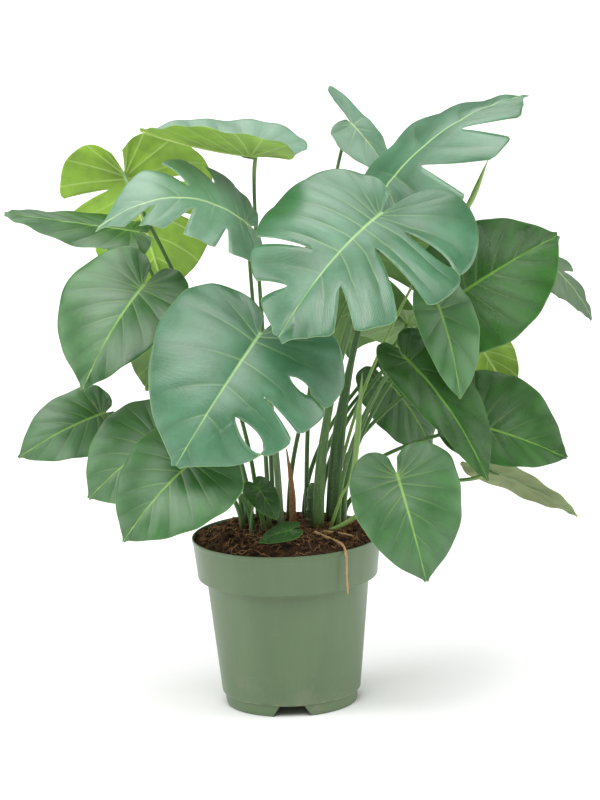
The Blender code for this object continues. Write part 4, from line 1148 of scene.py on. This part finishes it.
def makeStalk(name, leaf):
    joint, along, across, up, length = leafAxes(leaf)
    radius = stalk["radius"] * leaf["stalk"]
    topRadius = radius * stalk["topShare"]
    start = np.array((*leaf["foot"], heapTop - 0.003))
    slope = unit(along + up * 4.0 * leaf["droop"])
    below = unit(np.cross(across, slope))
    below = below if np.dot(below, up) < 0.0 else -below
    end = joint + below * (topRadius * 0.8 + blade["thick"])
    rise = leaf["lift"] * np.linalg.norm(end - start)
    lift = start + (*leaf["lean"], rise)
    approach = end - up * leaf["reach"] + np.array(leaf["swing"])
    t = np.linspace(0.0, 1.0, stalk["rings"])[:, None]
    path = start * (1 - t) ** 3 + lift * 3 * t * (1 - t) ** 2 + approach * 3 * t**2 * (1 - t) + end * t**3
    merge = stalk["merge"] * min(1.0, length / blade["fullLength"])
    tail = np.array([end + slope * merge * step + below * (-0.0006) * step for step in (0.35, 0.7, 1.0)])
    path = np.vstack([path[:-1], smoothPath(np.vstack([path[-3:-1], end, tail]), 12)[4:]])
    run = np.concatenate([[0.0], np.cumsum(np.linalg.norm(np.diff(path, axis=0), axis=1))])
    total = run[-1]
    share = run / total
    size = radius * (1.0 - (1.0 - stalk["topShare"]) * share)
    left = total - merge - run
    knee = np.exp(-((left - stalk["kneeLength"] * 0.5) / (stalk["kneeLength"] * 0.55)) ** 2)
    knee = np.where(total > 0.1, knee, knee * 0.5)
    size = size * (1.0 + stalk["kneeSwell"] * knee + stalk["footSwell"] * np.exp(-run / 0.018))
    ending = np.clip((total - run) / merge, 0.0, 1.0)
    size = size * (0.25 + 0.75 * ending**0.6)
    sheath = leaf["sheath"]

    def section(angle, place, distance):
        wide, deep = np.cos(angle), np.sin(angle)
        groove = 1.0 - 0.13 * np.exp(-((angle - 1.5 * math.pi) / 0.42) ** 2)
        wide, deep = wide * groove, deep * groove
        if sheath is not None:
            height, widen = sheath
            part = np.clip(distance / 0.03, 0.0, 1.0)
            part = part * np.clip((height - distance) / (0.45 * height), 0.0, 1.0)
            wide = wide * (1.0 + (widen - 1.0) * part)
            deep = deep * (1.0 - 0.15 * part)
        return wide, deep

    points, faces, values = sweep(path, size, stalk["sides"], section, upright=(0.0, -1.0, 0.0))
    values["knee"] = np.repeat(np.clip(knee, 0.0, 1.0), stalk["sides"])
    addPiece("petiole_" + name, points, faces, [skins[leaf["skin"]]], "stalk_skin", "stalk_" + name, values)


for name, changes in leaves.items():
    leaf = {**usualLeaf, **changes}
    makeBlade(name, leaf)
    makeStalk(name, leaf)
print("leaves grown")


# rolled new leaves, the main stem, the dry sheath and the aerial roots

rolls = {
    "rolled_leaf_right": {"path": [(0.056, 0.032, 0.0), (0.120, 0.034, 0.20), (0.215, 0.050, 0.38),
                                   (0.270, 0.035, 0.45), (0.300, 0.030, 0.515)]},
    "rolled_leaf_centre": {"path": [(0.062, -0.010, 0.0), (0.078, -0.034, 0.05), (0.098, -0.052, 0.10),
                                    (0.114, -0.056, 0.235)]},
}
rollShape = {"radius": 0.0028, "fullness": 0.0038, "start": 0.55, "run": 0.45, "point": 0.0006}
stem = {"base": (0.038, 0.020), "radius": 0.0095, "height": 0.060, "scars": (0.012, 0.026, 0.041, 0.053),
        "ridge": 0.0011, "waist": 0.0006}
drySheath = {"base": (0.010, 0.014), "height": 0.115, "radius": 0.0042}
roots = {"radius": 0.0022, "rimClear": 0.003, "longAngle": -53.0, "shortAngle": -32.0}


def makeRoll(name, roll):
    path = smoothPath([np.array(point) + (0.0, 0.0, heapTop) for point in roll["path"]], 60)
    path[0, 2] -= 0.003
    share = np.linspace(0.0, 1.0, len(path))
    swell = np.sin(math.pi * np.clip((share - rollShape["start"]) / rollShape["run"], 0.0, 1.0))
    size = rollShape["radius"] * (1.0 - 0.75 * share) + rollShape["fullness"] * swell
    size = np.maximum(size, rollShape["point"])

    def section(angle, place, distance):
        turn = (angle / (2.0 * math.pi) + 1.2 * place) % 1.0
        step = 0.30 * np.clip((place - 0.52) / 0.1, 0.0, 1.0)
        scale = 1.0 - step * turn
        return np.cos(angle) * scale, np.sin(angle) * scale

    points, faces, values = sweep(path, size, 24, section)
    values["knee"] = np.repeat(np.clip((share - 0.5) / 0.1, 0.0, 1.0), 24)
    addPiece(name + "_skin", points, faces, [skins["pale"]], "new_leaf", name, values)


def makeStem():
    base = np.array((*stem["base"], heapTop - 0.004))
    path = smoothPath([base, base + (0.001, 0.002, 0.03), base + (0.004, 0.006, stem["height"] + 0.004)], 60)
    run = np.linspace(0.0, stem["height"], 60)
    size = np.full(60, stem["radius"])
    for scar in stem["scars"]:
        ridge = stem["ridge"] * np.exp(-((run - scar) / 0.0012) ** 2)
        size += ridge - stem["waist"] * np.exp(-((run - scar - 0.004) / 0.003) ** 2)
    size *= 1.0 - 0.45 * np.clip((run - 0.048) / 0.012, 0.0, 1.0) ** 2
    points, faces, values = sweep(path, size, 28, lambda angle, place, distance: (
        np.cos(angle) * (1.0 + 0.05 * np.sin(3.0 * angle + 9.0 * place)), np.sin(angle)))
    values["knee"] = np.zeros(len(points))
    addPiece("stemTrunk", points, faces, [skins["dark"]], "stem_skin", "main_stem", values)


def makeDrySheath():
    base = np.array((*drySheath["base"], heapTop - 0.003))
    top = base + (-0.006, -0.004, drySheath["height"] + 0.003)
    path = smoothPath([base, base + (0.0, -0.002, 0.053), top], 40)
    share = np.linspace(0.0, 1.0, 40)
    size = drySheath["radius"] * np.clip(1.15 - 0.95 * share**2.2, 0.1, 1.2)

    def section(angle, place, distance):
        crease = 1.0 + 0.16 * np.sin(3.0 * angle + 6.0 * place) + 0.08 * np.sin(7.0 * angle - 11.0 * place)
        return np.cos(angle) * crease, np.sin(angle) * crease * 0.45

    points, faces, values = sweep(path, size, 28, section)
    addPiece("drySheathPaper", points, faces, [sheathMaterial], "dry_sheath", "dried_sheath", values)


def rootPoints(kind):
    angle = math.radians(roots[kind + "Angle"])
    outward = np.array((math.cos(angle), math.sin(angle), 0.0))
    side = np.array((-math.sin(angle), math.cos(angle), 0.0))
    high = np.array((0.0, 0.0, 1.0))
    rest = heapTop + roots["radius"] + 0.0003
    if kind == "long":
        clear = roots["radius"] + roots["rimClear"]
        over = max(pot["height"] + clear, rest - 0.002)
        controls = [
            outward * 0.052 + side * 0.012 + high * rest, outward * 0.085 + side * 0.006 + high * rest,
            outward * (pot["rim"] - 0.006) + high * over,
            outward * (pot["rim"] + clear) - side * 0.002 + high * (pot["height"] - 0.008),
            outward * (pot["rim"] + clear + 0.001) - side * 0.003 + high * (pot["height"] - 0.035),
            outward * (pot["rim"] + clear) - side * 0.001 + high * (pot["height"] - 0.062)]
        return smoothPath(controls, 90)
    controls = [outward * 0.064 + high * rest, outward * 0.085 + high * (rest + 0.001),
                outward * 0.111 + high * (rest - 0.001)]
    return smoothPath(controls, 50)


def makeRoot(name, kind, node):
    path = rootPoints(kind)
    share = np.linspace(0.0, 1.0, len(path))
    knobs = (1.0 + 0.10 * np.sin(37.0 * share) + 0.07 * np.sin(83.0 * share + 1.0)
             + 0.05 * np.sin(141.0 * share))
    size = roots["radius"] * (1.0 - 0.45 * share) * knobs
    size[-3:] *= (0.8, 0.55, 0.25)
    points, faces, values = sweep(path, size, 14, upright=(0.3, 0.4, 1.0))
    addPiece(name, points, faces, [rootMaterial], "root_bark", node, values)


for name, roll in rolls.items():
    makeRoll(name, roll)
makeStem()
makeDrySheath()
makeRoot("rootOverRim", "long", "aerial_root_long")
makeRoot("rootOnSoil", "short", "aerial_root_short")
print("stems and roots made")


# the floor

reach = studio["floorSize"] / 2.0
ground = cadBox[0][2] - 0.0002
addPiece("studioFloor", [(-reach, -reach, ground), (reach, -reach, ground), (reach, reach, ground),
                         (-reach, reach, ground)], [(0, 1, 2, 3)], [floorPaint()], None, flat=True)
print("floor laid")
